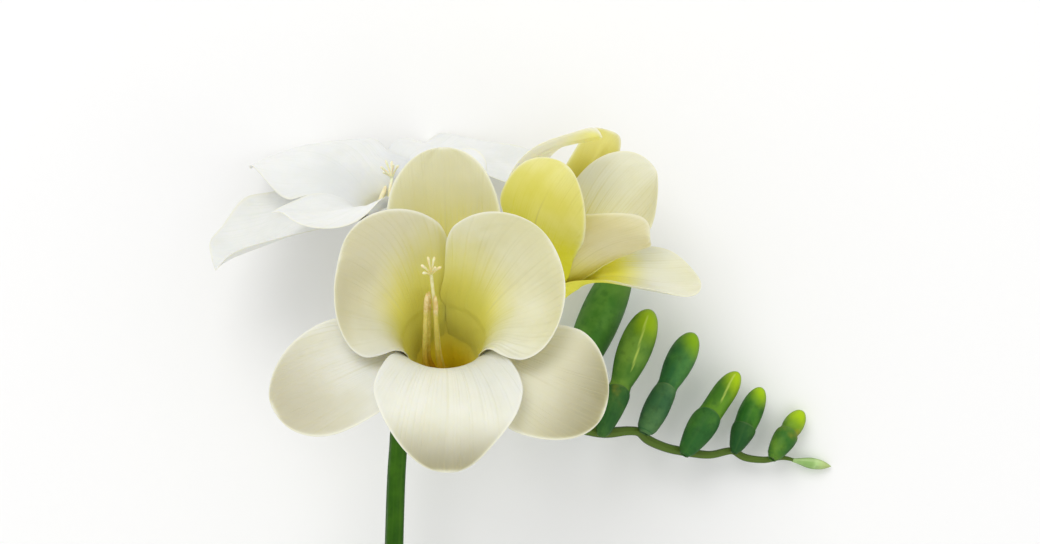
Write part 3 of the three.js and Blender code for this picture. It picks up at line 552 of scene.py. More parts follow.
rightFlower = dict(
    foot=(4.9, -25.6, 20.8), mouth=(4.7, 0.9, 30), tilt=11.9, lean=-31.2, bend=12, mouthRadius=7,
    slot="yellow_petal", goldDown=(6, 16), threadRise=1, threadLean=0, paleThreads=0.0,
    look=dict(lobe=(236, 232, 196), shade=(228, 222, 178), glow=(216, 208, 76), gold=(200, 178, 44),
              rim=(246, 242, 206), vein=(190, 182, 104), veinShow=0.3, veinDepth=0.05, rimShow=0.55,
              glowThrough=0.35, outerGlow=1.0, creased=0.8, reach=(0, 16), narrow=3,
              tipShadeTint=(214, 206, 150), midribShow=0.3),
    petals=dict(
        back=dict(
            whorl=1, azimuth=7, length=27.7, halfWidth=6, widest=0.38, tip=2, root=40,
            flare=(29, 4, 21), cup=(0.055, 0.05, 0.062), sway=(2, 10, -7), twist=(-1, 4, 11),
            edge=(7.8, -5.2, -1.3, 5.5),
            look=dict(lobe=(217, 209, 130), shade=(208, 199, 104), reach=(8, 30))),
        rightBack=dict(
            whorl=-1, azimuth=-36, length=25.6, halfWidth=9.7, widest=0.54, tip=2.7, root=36,
            flare=(5, 6, 28), cup=(0.033, 0.025, 0.022), sway=(4, 0, -17), twist=(9, 5, -2),
            edge=(4.7, 1.8, -2.6, 3.5),
            look=dict(lobe=(226, 226, 206), shade=(218, 216, 188), reach=(2, 20))),
        right=dict(
            whorl=1, azimuth=-83, length=23.6, halfWidth=9.7, widest=0.64, tip=1.9, root=36,
            flare=(92, 66, 48), cup=(0.034, 0.075, 0.038), sway=(-8, -3, 1), twist=(18, 14, 21),
            edge=(-0.2, -0.7, 2, 0.1),
            # Its glow is painted brighter as light, where the neighbouring petals shade its base.
            look=dict(lobe=(236, 235, 218), shade=(230, 229, 206), glow=(246, 238, 72), reach=(7, 15),
                      tipShadeTint=(222, 218, 180), tipShow=0.4)),
        rightFront=dict(
            whorl=-1, azimuth=-147, length=20.8, halfWidth=8.9, widest=0.49, tip=2.1, root=62,
            flare=(18, 53, 68), cup=(0.097, 0.045, 0.05), sway=(8, 5, 32), twist=(-2, -7, -5),
            edge=(0.7, 1.7, -2.8, 5.9),
            look=dict(lobe=(226, 217, 176), shade=(218, 208, 158), reach=(0, 12))),
        front=dict(
            whorl=1, azimuth=158, length=27, halfWidth=8.7, widest=0.61, tip=2.6, root=48,
            flare=(91, 27, -13), cup=(0.02, 0.056, 0.054), sway=(3, 9, 7), twist=(27, 6, -2),
            edge=(-3.7, -3, -0.3, 0.8),
            look=dict(lobe=(228, 222, 144), shade=(218, 211, 104), glow=(220, 214, 22), reach=(6, 28),
                      veinShow=0.2, midribShow=0.6)),
        left=dict(
            whorl=-1, azimuth=81, length=30.8, halfWidth=5.2, widest=0.38, tip=1.6, root=36,
            flare=(84, -94, -57), cup=(-0.024, 0.048, 0.07), sway=(5, -1, 2), twist=(-57, 0, -13),
            edge=(1.6, -7.3, -1.5, -5.4),
            # This narrow petal's outer side faces away from the light; its pale lobe, shade and glow are
            # painted light.
            look=dict(lobe=(255, 254, 236), shade=(255, 253, 226), glow=(252, 246, 176), reach=(2, 20),
                      veinShow=0.05, glowThrough=0.9, tipShadeTint=(230, 218, 118), tipFrom=0.68,
                      tipShow=0.9))))
petalMake = dict(
    rows=62, rootRows=16, columns=64, crowdedAlong=1.8, crowdedAcross=0.65, steps=400, flattest=1e-5,
    thickness=0.32, edgeThickness=0.06, edgeLeast=0.02, edgeFade=0.9, rootThin=(0.5, -1.0),
    rootDepth=12.0, rootNarrowing=0.1, whorlOffset=0.5, lift=0.3, turnedBy=0.35, closedBy=0.22,
    tipWidth=0.12, tipNarrowing=3, edgePower=2, fan=1.25, rimWidth=0.4, rimFrom=(4, 12),
    grownAlong=(0.12, 0.5), ruffle=0.16, ruffles=15, ruffleSlant=1.5, rufflePower=6,
    folds=0.1, foldCounts=(2.5, 4.2), fineFolds=0.6,
    midrib=0.08, midribWidth=0.05, midribFrom=(0.05, 0.3),
    creases=9, creaseSpan=0.88, creaseShift=0.1, creaseDepth=0.09, creaseDepths=(0.1, 1.0),
    creaseWidth=0.045, creaseFrom=(0.0, 0.15), creaseEnds=(0.6, 0.95), creaseFade=0.3,
    look=dict(green=(112, 136, 52), veins=9, sideways=0, tipFrom=0.7, tipShow=0.0),
)
funnelMake = dict(
    rows=44, sides=48, neckRadius=1.5, belly=0.35, neckWall=0.35, rimWall=0.18, cadRimWall=0.6, floor=0.2,
    ovary=0.7, ovaryAt=2.8, ovarySpan=2.2, rimFrom=0.9, rimThinning=0.7, rimOut=0.12, ribs=6,
    ribHeight=0.07, green=(0.55, 0.95), nearMouth=0.999,
)


# The flower's own directions as rows: to the back petal, to the left and out of the mouth.
def flowerFrame(flower):
    tilt, lean = np.radians(flower["tilt"]), np.radians(flower["lean"])
    out = np.array([-np.sin(lean) * np.cos(tilt), np.cos(lean) * np.cos(tilt), np.sin(tilt)])
    back = np.array([-np.sin(lean) * np.sin(tilt), np.cos(lean) * np.sin(tilt), -np.cos(tilt)])
    return np.stack([back, np.cross(out, back), out])


def toSpike(points, flower, axes):
    return points @ axes + np.array(flower["mouth"], float)


# neck + (mouth - neck) (3 belly x^2 (1-x) + x^3) at share x of the funnel's length
def funnelRadius(flower, x):
    neck = funnelMake["neckRadius"]
    return neck + (flower["mouthRadius"] - neck) * handleCurve(0, (0, funnelMake["belly"], 1), x)


# how far the ovary swells the tube's outside, height exp(-((distance - middle) / span)^2)
def ovarySwelling(fromFoot):
    return funnelMake["ovary"] * bell((fromFoot - funnelMake["ovaryAt"]) / funnelMake["ovarySpan"])


# the radius of the wall's middle, half the CAD wall's thickness and the ovary's swelling
def funnelOutside(flower, share, length):
    wall = blend(funnelMake["neckWall"], funnelMake["cadRimWall"], share)
    return funnelRadius(flower, share) + wall + ovarySwelling(share * length)


# A hollow lathe carried along the bent line: out from the foot to the rim, then back inside to the floor.
# Low ribs stand on its outside, radius + height cos(ribs angle).
def makeFunnel(name, flower, look, axes, line):
    make = funnelMake
    length = lengthOf(line)
    outside = np.linspace(0, 1, make["rows"])
    inside = np.linspace(1, make["floor"], make["rows"])
    shares = np.concatenate([outside, inside])
    isOut = np.arange(len(shares)) < len(outside)
    nearRim = ease(make["rimFrom"], 1, shares)
    wall = blend(make["neckWall"], make["rimWall"], shares) * (1 - make["rimThinning"] * nearRim)
    radius = funnelRadius(flower, shares) + nearRim * make["rimOut"]
    radius = radius + np.where(isOut, wall + ovarySwelling(shares * length), -wall)
    angles = roundAngles(make["sides"])
    ribs = np.cos(make["ribs"] * angles)[None] * (make["ribHeight"] * isOut * (1 - nearRim))[:, None]
    rings = ringsAlong(line, shares, radius[:, None] + ribs, angles)
    gold = np.where(isOut, 0.0, ease(*flower["goldDown"], (1 - shares) * length))
    green = np.where(isOut, ease(*make["green"], 1 - shares), 0.0)
    uv = roundUv(1 - shares, make["sides"], make["ribs"])
    skin = closedSkin(toSpike(rings, flower, axes), uv, glow=1.0, gold=gold[:, None], green=green[:, None],
                      rim=0.0, innerSide=1.0 - isOut[:, None])
    makePiece(f"{name}_tube", [skin], petalFinish(f"{name} tube", look), f"{name}_funnel")


# Half of the petal's width: root to widest place as a quarter sine, then hw sqrt(1 - x^tip) to the tip.
def petalHalfWidth(flower, petal, t):
    root = flower["mouthRadius"] * np.radians(petal["root"])
    rise = blend(root, petal["halfWidth"], quarterSine(t / petal["widest"]))
    x = np.clip((t - petal["widest"]) / (1 - petal["widest"]), 0, 1)
    fall = petal["halfWidth"] * np.sqrt(np.clip(1 - x ** petal["tip"], 0, 1))
    return np.maximum(np.where(t < petal["widest"], rise, fall), petalMake["tipWidth"])


# Angles that the right and the left edge of a root reach, so that the petals of a whorl meet.
def rootReach(flower, petal):
    gaps = [(other["azimuth"] - petal["azimuth"]) % 360 for other in flower["petals"].values()
            if other["whorl"] == petal["whorl"] and other is not petal]
    return (360 - max(gaps)) / 2, min(gaps) / 2


# Middle surface of the petal's blade at shares t from its root and v across from -1 (right) to 1 (left).
# The middle line walks along (sin flare cos sway, sin sway, cos flare cos sway). Across it the surface is
# an arc of curvature k: side sin(k h v) / k + facing (1 - cos(k h v)) / k, which starts as the funnel's own.
def petalBlade(flower, petal, slope, t, v):
    make = petalMake
    steps = np.linspace(0, 1, make["steps"] + 1)
    flare = np.radians(handleCurve(slope, petal["flare"], steps))
    sway = np.radians(handleCurve(0, petal["sway"], steps))
    ahead = np.stack([np.sin(flare) * np.cos(sway), np.sin(sway), np.cos(flare) * np.cos(sway)], axis=1)
    across = np.stack([-np.sin(flare) * np.sin(sway), np.cos(sway), -np.cos(flare) * np.sin(sway)], axis=1)
    walked = np.cumsum(ahead[:-1], axis=0) * petal["length"] / make["steps"]
    middle = np.concatenate([np.zeros((1, 3)), walked]) + (flower["mouthRadius"], 0, make["lift"])
    pick = lambda rows: np.stack([np.interp(t, steps, column) for column in rows.T], axis=1)
    middle, ahead, across = pick(middle), unit(pick(ahead)), unit(pick(across))
    settled = ease(0, make["turnedBy"], t)[:, None]
    inward = unit(np.cross(ahead, across) * settled + np.array([-1.0, 0, 0]) * (1 - settled))
    twist = np.radians(handleCurve(0, petal["twist"], t))[:, None]
    side = across * np.cos(twist) + inward * np.sin(twist)
    facing = inward * np.cos(twist) - across * np.sin(twist)
    half = petalHalfWidth(flower, petal, t)[:, None]
    k = handleCurve(1 / flower["mouthRadius"], petal["cup"], t)[:, None]
    k = np.where(np.abs(k) < make["flattest"], make["flattest"], k)
    arc = k * half * v
    surface = (middle[:, None] + side[:, None] * (np.sin(arc) / k)[..., None]
               + facing[:, None] * ((1 - np.cos(arc)) / k)[..., None])
    inner = facing[:, None] * np.cos(arc)[..., None] - side[:, None] * np.sin(arc)[..., None]
    pointed = (1 - np.clip(half / petal["halfWidth"], 0, 1)) ** make["tipNarrowing"]
    narrowing = 1 - pointed * (t[:, None] >= petal["widest"])
    leftMiddle, leftTip, rightMiddle, rightTip = petal["edge"]
    left = handleCurve(0, (0, leftMiddle, leftTip), t)[:, None]
    right = handleCurve(0, (0, rightMiddle, rightTip), t)[:, None]
    lifted = left * ((1 + v * narrowing) / 2) ** make["edgePower"]
    lifted = lifted + right * ((1 - v * narrowing) / 2) ** make["edgePower"]
    stand = lifted - make["whorlOffset"] * petal["whorl"]
    return surface, inner, stand, half, narrowing


# The petal's root below the mouth lies along the funnel's wall and dives into it, inner whorl from
# inside and outer whorl from outside.
def petalRoot(flower, petal, line, down, v):
    dive = ease(0, petalMake["rootDepth"], down)
    shares = 1 - down / lengthOf(line)
    offset = petal["whorl"] * petalMake["whorlOffset"] * (1 - dive)
    radius = funnelRadius(flower, shares) + offset
    places, ahead, _ = walk(line, shares)
    angle = np.radians(petal["root"]) * (1 - petalMake["rootNarrowing"] * dive[:, None]) * v
    out = turned(roundTheAxis(angle) @ turnAbout(np.radians(petal["azimuth"])), upwards, ahead)
    return places[:, None] + radius[:, None, None] * out, -out


# How far the blade stands inwards, mm. Ruffles run along the margin, sin(turns t) v^6, low folds run
# lengthwise, cos(pi n v), and the midrib and the creases are fine grooves, exp(-((v-place)/w)^2).
def petalRelief(petal, creased, t, v, narrowing):
    make = petalMake
    phase = dice.uniform(0, 2 * np.pi, 4)
    shifts = dice.uniform(-make["creaseShift"], make["creaseShift"], make["creases"])
    depths = make["creaseDepth"] * creased * dice.uniform(*make["creaseDepths"], make["creases"])
    ends = dice.uniform(*make["creaseEnds"], make["creases"])
    places = np.linspace(-make["creaseSpan"], make["creaseSpan"], make["creases"]) + shifts
    ruffle = np.sin(t * make["ruffles"] + phase[0] + make["ruffleSlant"] * v)
    ruffle = make["ruffle"] * ruffle * np.abs(v) ** make["rufflePower"]
    broad, fine = make["foldCounts"]
    folds = np.cos(np.pi * broad * v + phase[1] + t)
    folds = folds + make["fineFolds"] * np.cos(np.pi * fine * v + phase[2])
    waves = ruffle + make["folds"] * folds * (1 - v**2)
    midrib = bell(v / make["midribWidth"]) * ease(*make["midribFrom"], t) * (1 - t) ** 0.5
    shown = ease(*make["creaseFrom"], t) * (1 - ease(ends - make["creaseFade"], ends, t))
    creases = np.sum(depths * bell((v[..., None] - places) / make["creaseWidth"]) * shown[:, None], axis=-1)
    grooves = creases + make["midrib"] * midrib
    return ease(*make["grownAlong"], t) * narrowing * waves + petal["whorl"] * grooves


# Blade and root in one sheet that thins out to its edge.
def makePetal(name, place, flower, look, axes, line, slope):
    make = petalMake
    petal = flower["petals"][place]
    look = {**look, **petal.get("look", {})}
    down = np.linspace(make["rootDepth"], 0, make["rootRows"])
    t = crowdedAlong(make["rows"], make["crowdedAlong"])
    v = crowdedAcross(make["columns"], make["crowdedAcross"])[None]
    right, left = np.array(rootReach(flower, petal)) / petal["root"]
    wider = np.interp(v, (-1, 0, 1), (right, 1, left))
    spread = v * blend(wider, 1, ease(0, make["closedBy"], t)[:, None])
    blade, bladeInner, stand, half, narrowing = petalBlade(flower, petal, slope, t, spread)
    stand = stand + petalRelief(petal, look["creased"], t[:, None], v, narrowing)
    root, rootInner = petalRoot(flower, petal, line, down, v * wider)
    spin = turnAbout(np.radians(petal["azimuth"]))
    middle = np.concatenate([root, (blade + bladeInner * stand[..., None]) @ spin])
    inner = np.concatenate([rootInner, bladeInner @ spin])
    depth = np.concatenate([-down, t * petal["length"]])[:, None]
    halfWidth = np.concatenate([np.full((len(down), 1), half[0, 0]), half])
    fromEdge = np.minimum((1 - np.abs(v)) * halfWidth, np.maximum(petal["length"] - depth, 0))
    below, above = make["rootThin"]
    thick = 1 - np.exp(-(fromEdge + make["edgeLeast"]) / make["edgeFade"])
    thick = thick * ease(-make["rootDepth"] - below, above, depth)
    glow = 1 - ease(*look["reach"], depth - look["sideways"] * v + look["narrow"] * v**2)
    shallow, deep = flower["goldDown"]
    # Rim: a band along the edge, away from the root, partly pale margin and partly painted highlight
    rim = bell(fromEdge / make["rimWidth"]) * ease(*make["rimFrom"], depth)
    along = depth / petal["length"]
    fan = blend(half[0, 0], make["fan"] * petal["halfWidth"], quarterSine(along))
    uv = gridUv(v * halfWidth / fan / 2 + 0.5, along)
    skin = sheetSkin(toSpike(middle, flower, axes), inner @ axes,
                     blend(make["edgeThickness"], make["thickness"], thick), uv,
                     glow=glow, gold=1 - ease(-deep, -shallow, depth), green=0.0, rim=rim)
    makePiece(f"{name}_tepal_{place}", [skin], petalFinish(f"{name} {place} petal", look),
              f"{name}_petal_{place}")


# The first two points are [share of the funnel, back, left] off its centre line, the others
# [above the mouth, back, left], mm.
stamenMake = dict(
    paths=[[(0.42, 0, 1.1), (0.75, 0.4, 3.6), (0, 2.2, 3.3), (7, 4.9, 2.9)],
           [(0.42, 0, -0.8), (0.75, 0.2, 1.1), (0, 2.1, 1.3), (6.5, 4.7, 1.4)],
           [(0.42, 1.3, 1.2), (0.75, 1.8, 3.1), (-0.8, 3.6, 2.7), (5.2, 6.7, 2.6)]],
    rows=60, crowdedAlong=1.25, sides=16, radius=0.5, taper=0.2, fade=(0.0, 0.3), least=0.05,
    sacFrom=0.84, sacRadius=0.6, sacEnd=0.985, sacPower=0.4, sacColour=(0.1, 0.4),
    furrow=0.28, furrowFrom=(0.1, 0.3), furrowPower=6, deep=(0.7, 0.35),
    look=dict(dark=(220, 208, 108), light=(234, 222, 132), sac=(222, 196, 124), sacLight=(238, 220, 166),
              deep=(214, 170, 40), pale=(244, 241, 208), grainScale=900.0, grainDepth=0.03),
)
# Arms are (angle round the style, degrees, how far out and how far up, mm).
styleMake = dict(
    path=[(0.3, 0, 0), (0.72, 1.7, 0.9), (-0.2, 3.8, 1.3), (10.5, 6.4, 2.1)],
    arms=[(-18, 2, 2.6), (24, 1.3, 3.4), (100, 1.7, 2.9), (138, 2.1, 2.2), (222, 1.4, 3.2), (258, 1.9, 2.5)],
    rows=50, armRows=22, sides=16, radius=0.4, taper=0.25, sacColour=(0.8, 1), deep=(0.6, 0.3),
    armRadius=0.2, armRoot=(0.1, 0.6), armBow=(0.3, 0.5), slim=0.85, knob=0.45, knobFrom=(0.55, 0.9),
    end=0.9, endFrom=(0.92, 1), armSac=(0.1, 0.7),
    look=dict(dark=(236, 224, 150), light=(246, 238, 180), sac=(240, 230, 176), sacLight=(250, 244, 206),
              deep=(226, 200, 90), pale=(246, 244, 216), grainScale=900.0, grainDepth=0.04),
)


def threadLine(flower, line, path):
    within = [walk(line, [share])[0][0] + (back, left, 0) for share, back, left in path[:2]]
    rise, lean = flower["threadRise"], flower["threadLean"]
    beyond = [(back, left + lean * above, rise * above) for above, back, left in path[2:]]
    return lineThrough(within + beyond)


# A thread that swells into a long pollen sac, r sin(pi x)^0.4, x from 0 at its foot to 1 at its end. Its
# two halves leave a furrow on each side.
def makeStamen(name, path, flower, axes, line, finish):
    make = stamenMake
    shares = crowdedAlong(make["rows"], make["crowdedAlong"])
    x = np.clip((shares - make["sacFrom"]) / (1 - make["sacFrom"]), 0, 1)
    sac = make["sacRadius"] * np.sin(np.pi * np.minimum(x, make["sacEnd"])) ** make["sacPower"]
    thread = make["radius"] * (1 - make["taper"] * shares) * (1 - ease(*make["fade"], x))
    angles = roundAngles(make["sides"])
    furrow = ease(*make["furrowFrom"], x)[:, None] * np.abs(np.sin(angles)) ** make["furrowPower"]
    radii = np.maximum(sac, thread)[:, None] * (1 - make["furrow"] * furrow)
    rings = ringsAlong(threadLine(flower, line, path), shares, np.maximum(radii, make["least"]), angles)
    skin = closedSkin(toSpike(rings, flower, axes), roundUv(shares, make["sides"]),
                      sac=ease(*make["sacColour"], x)[:, None], deep=ease(*make["deep"], shares)[:, None])
    makePiece(f"{name}_thread", [skin], finish, name)


# The style's shaft and its three arms that part in two. Each arm is a bowed line with a small knob near
# its end.
def makeStyle(name, flower, axes, line, finish):
    make = styleMake
    angles = roundAngles(make["sides"])
    path = threadLine(flower, line, make["path"])
    shares = np.linspace(0, 1, make["rows"])
    rings = ringsAlong(path, shares, make["radius"] * (1 - make["taper"] * shares)[:, None], angles)
    skins = [closedSkin(toSpike(rings, flower, axes), roundUv(shares, make["sides"]),
                        sac=ease(*make["sacColour"], shares)[:, None],
                        deep=ease(*make["deep"], shares)[:, None])]
    top = path[-1, :3]
    shares = np.linspace(0, 1, make["armRows"])
    widths = (make["slim"] + make["knob"] * ease(*make["knobFrom"], shares)
              - make["end"] * ease(*make["endFrom"], shares))
    back, below = make["armRoot"]
    bowOut, bowUp = make["armBow"]
    for turn, out, above in make["arms"]:
        side = roundTheAxis(np.radians(turn))
        bow = side * bowOut * out + (0, 0, bowUp * above)
        armLine = bowedLine(top - side * back - (0, 0, below), top + bow, top + side * out + (0, 0, above))
        rings = ringsAlong(armLine, shares, make["armRadius"] * widths[:, None], angles)
        skins.append(closedSkin(toSpike(rings, flower, axes), roundUv(shares, make["sides"]),
                                sac=ease(*make["armSac"], shares)[:, None], deep=0.0))
    makePiece(f"{name}_column", skins, finish, name)


# A pair's shapes are (length, mm, angle of the middle, half the angle at the foot, power of the tip).
bractMake = dict(
    rows=40, columns=36, crowdedAlong=1.5, crowdedAcross=0.6, thickness=0.3, edgeThickness=0.08,
    edgeLeast=0.01, edgeFade=0.5, start=-0.5, footing=0.4, footingTo=0.6, pointPower=0.6, leastPoint=0.03,
    ribs=9, ribHeight=0.015, rimWidth=0.35, blushFrom=(0.3, 0.9), clearance=0.5, blush=0.6,
    pair=dict(outer=(10.5, 180, 95, 2.4), inner=(8.5, 0, 76, 3)),
    look=dict(dark=(44, 96, 46), light=(78, 126, 54), streak=(90, 132, 60), patchScale=150.0, streaks=7,
              streakShow=0.12, streakDepth=0.02, blush=(156, 146, 44), blushShow=0.6, mottle=0.3,
              # side: the dark mottle's colour and the painted shade on the sides
              rim=(132, 158, 92), rimShow=0.2, side=(18, 48, 20), sideShadeShow=0.7),
)


# A sheet clasped round a body's line: at angle a it stands radius(share) out, and its half angle shrinks
# by (1 - x^tip)^0.6 to the point. Ribs along it add height cos(pi n v).
def makeBract(name, line, radiusAt, place, shape, blush, finish):
    make = bractMake
    length, middle, halfAngle, tip = shape
    x = crowdedAlong(make["rows"], make["crowdedAlong"])[:, None]
    v = crowdedAcross(make["columns"], make["crowdedAcross"])[None]
    whole = lengthOf(line)
    shares = blend(make["start"], length, x[:, 0]) / whole
    places, ahead, _ = walk(line, shares)
    places = places + ahead * np.minimum(shares, 0)[:, None] * whole
    pointed = np.clip(1 - x**tip, 0, 1) ** make["pointPower"]
    reach = np.radians(halfAngle) * np.maximum(make["leastPoint"], pointed)
    out = turned(roundTheAxis(np.radians(middle) + reach * v), upwards, ahead)
    ribs = make["ribHeight"] * np.cos(np.pi * make["ribs"] * v) * (1 - x**2)
    footing = 1 - make["footing"] * (1 - ease(make["start"], make["footingTo"], shares * whole)[:, None])
    radius = (radiusAt(np.maximum(shares, 0))[:, None] + ribs) * footing
    fromEdge = np.minimum((1 - np.abs(v)) * reach * radius, (1 - x) * length)
    thick = 1 - np.exp(-(fromEdge + make["edgeLeast"]) / make["edgeFade"])
    skin = sheetSkin(place(places[:, None] + radius[..., None] * out), place(-out, True),
                     blend(make["edgeThickness"], make["thickness"], thick), gridUv((v + 1) / 2, x),
                     rim=bell(fromEdge / make["rimWidth"]), blush=blush * ease(*make["blushFrom"], x))
    makePiece(f"{name}_leaf", [skin], finish, name)


# Funnel, petals, stamens, style and bracts of one open flower. Slope is how far the funnel widens at its
# mouth, in degrees, and the petals leave it at this angle.
def makeFlower(name, flower):
    axes = flowerFrame(flower)
    foot = axes @ (np.array(flower["foot"], float) - np.array(flower["mouth"], float))
    line = bowedLine(foot, (0, 0, -flower["bend"]), (0, 0, 0))
    length = lengthOf(line)
    nearMouth = funnelMake["nearMouth"]
    widening = funnelRadius(flower, 1) - funnelRadius(flower, nearMouth)
    slope = np.degrees(np.arctan(widening / ((1 - nearMouth) * length)))
    look = {**petalMake["look"], **flower["look"]}
    makeFunnel(name, flower, look, axes, line)
    for place in flower["petals"]:
        makePetal(name, place, flower, look, axes, line, slope)
    stamenFinish = threadFinish(f"{name} stamen", stamenMake["look"], flower["paleThreads"])
    styleFinish = threadFinish(f"{name} style", styleMake["look"], flower["paleThreads"])
    for number, path in enumerate(stamenMake["paths"], 1):
        makeStamen(f"{name}_stamen_{number}", path, flower, axes, line, stamenFinish)
    makeStyle(f"{name}_style", flower, axes, line, styleFinish)
    hold = lambda share: funnelOutside(flower, share, length) + bractMake["clearance"]
    onSpike = lambda points, direction=False: points @ axes if direction else toSpike(points, flower, axes)
    for layer, shape in bractMake["pair"].items():
        makeBract(f"{name}_{layer}_bract", line, hold, onSpike, shape, bractMake["blush"], bractFinish)
    print(name, "flower done")


bractFinish = greenFinish("bract green", bractMake["look"])
for name, flower in dict(front=frontFlower, back=backFlower, right=rightFlower).items():
    makeFlower(name, flower)


# Foot and tip, the widest radius of the bud and of its sheath, the share of the length where the sheath
# ends, the share of the rest where the bud is widest and how far it bows, mm. Seam is where the margin of
# the outermost tepal runs over the bud: degrees from the top, turn along its length and how much it shows.
buds = dict(
    bud_1=dict(
        foot=(7.5, -28.1, 14.4), tip=(20.9, 2.6, 7.5), bulge=4.1, bow=0.8, sheath=2.8, sheathFoot=0.52,
        sheathFull=0.65, neck=0.25, widest=0.5, seam=(-60, 0.2, 0.0), tipFrom=0.7, dark=(74, 130, 48),
        light=(102, 156, 66), tipPaint=(108, 150, 56), blush=0.0, sheathDark=(44, 96, 46),
        sheathLight=(78, 126, 54)),
    bud_2=dict(
        foot=(15.8, -31.3, 18.1), tip=(25.4, -7.3, 15.5), bulge=3.3, bow=0.5, sheath=2.45, sheathFoot=0.5,
        sheathFull=0.8, neck=0.4, widest=0.5, seam=(6, -0.5, 1.0), tipFrom=0.6, dark=(78, 124, 42),
        light=(112, 152, 56), tipPaint=(158, 192, 20), blush=0.35, sheathDark=(44, 92, 40),
        sheathLight=(76, 120, 52)),
    bud_3=dict(
        foot=(24.4, -31, 13.7), tip=(34.2, -12, 9.5), bulge=2.8, bow=0.3, sheath=2.4, sheathFoot=0.7,
        sheathFull=0.5, neck=0.48, widest=0.48, seam=(50, 0.3, 0.2), tipFrom=0.58, dark=(50, 107, 57),
        light=(84, 141, 66), tipPaint=(146, 190, 12), blush=0.1, sheathDark=(58, 104, 63),
        sheathLight=(90, 131, 76)),
    bud_4=dict(
        foot=(32.3, -35.4, 11.2), tip=(43.1, -19.8, 6.8), bulge=2.35, bow=0.4, sheath=2.75, sheathFoot=0.5,
        sheathFull=0.7, neck=0.52, widest=0.4, seam=(-4, -0.6, 1.0), tipFrom=0.42, dark=(70, 122, 34),
        light=(106, 154, 40), tipPaint=(176, 208, 14), blush=0.15, sheathDark=(46, 100, 42),
        sheathLight=(80, 132, 50)),
    bud_5=dict(
        foot=(42.3, -35.2, 7.9), tip=(47.9, -22.9, 4.8), bulge=2.4, bow=0.3, sheath=2.4, sheathFoot=0.42,
        sheathFull=1, neck=0.42, widest=0.25, seam=(30, 0.2, 0.1), tipFrom=0.5, dark=(42, 100, 32),
        light=(76, 130, 38), tipPaint=(168, 206, 12), blush=0.1, sheathDark=(36, 84, 38),
        sheathLight=(66, 112, 46)),
    bud_6=dict(
        foot=(50, -36.6, 6.1), tip=(56.3, -27.7, 2.2), bulge=2.05, bow=0.2, sheath=2.25, sheathFoot=0.55,
        sheathFull=0.8, neck=0.58, widest=0.2, seam=(20, 0.2, 0.4), tipFrom=-0.1, dark=(84, 132, 40),
        light=(120, 158, 44), tipPaint=(178, 212, 16), blush=0.5, sheathDark=(56, 110, 40),
        sheathLight=(104, 146, 46)),
)
budMake = dict(
    rows=90, crowdedAlong=1.8, sides=56, room=0.12, domePower=2.2, least=0.05, drawnIn=0.1,
    ridges=3, ridgeHeight=0.035, ridgesFrom=(0, 0.3), seamHeight=0.1, seamWidth=0.24,
    seamFrom=(0.05, 0.3), seamTo=(0.86, 0.97), warmSide=0.9, tipLean=0.14, tipFull=1.05,
    blushTo=(0.0, 0.45), sheathLength=0.97, sheaths=dict(outer=(0, 116, 6), inner=(180, 66, 4)),
    look=dict(streak=(104, 146, 62), patchScale=170.0, streaks=9, streakShow=0.1, streakDepth=0.015,
              # side: the dark mottle's colour and the painted shade on the sides
              tipShow=1.0, rim=(200, 220, 104), rimShow=0.6, side=(20, 60, 20), sideShadeShow=0.65,
              blush=(156, 150, 44), blushShow=0.6, mottle=0.3),
)


# Sheath: foot to 1 as a quarter sine up to its widest place, drawn in by up to a tenth beyond it.
def sheathRadius(bud, share):
    t = np.minimum(1, share / bud["neck"])
    full = bud["sheathFull"]
    swelling = blend(bud["sheathFoot"], 1, quarterSine(t / full))
    drawnIn = budMake["drawnIn"] * ease(full, 1, t) if full < 1 else 0
    return bud["sheath"] * swelling * (1 - drawnIn)


# Inside the sheath a little less than its radius, then neck to bulge as a quarter sine up to the widest
# place and bulge sqrt(1 - x^2.2) to the tip.
def budRadius(bud, share):
    neck = sheathRadius(bud, bud["neck"]) - budMake["room"]
    t = np.clip((share - bud["neck"]) / (1 - bud["neck"]), 0, 1)
    swelling = blend(neck, bud["bulge"], quarterSine(t / bud["widest"]))
    x = np.clip((t - bud["widest"]) / (1 - bud["widest"]), 0, 1)
    dome = bud["bulge"] * np.sqrt(np.clip(1 - x ** budMake["domePower"], 0, 1))
    within = sheathRadius(bud, share) - budMake["room"]
    return np.where(share < bud["neck"], within, np.where(t < bud["widest"], swelling, dome))


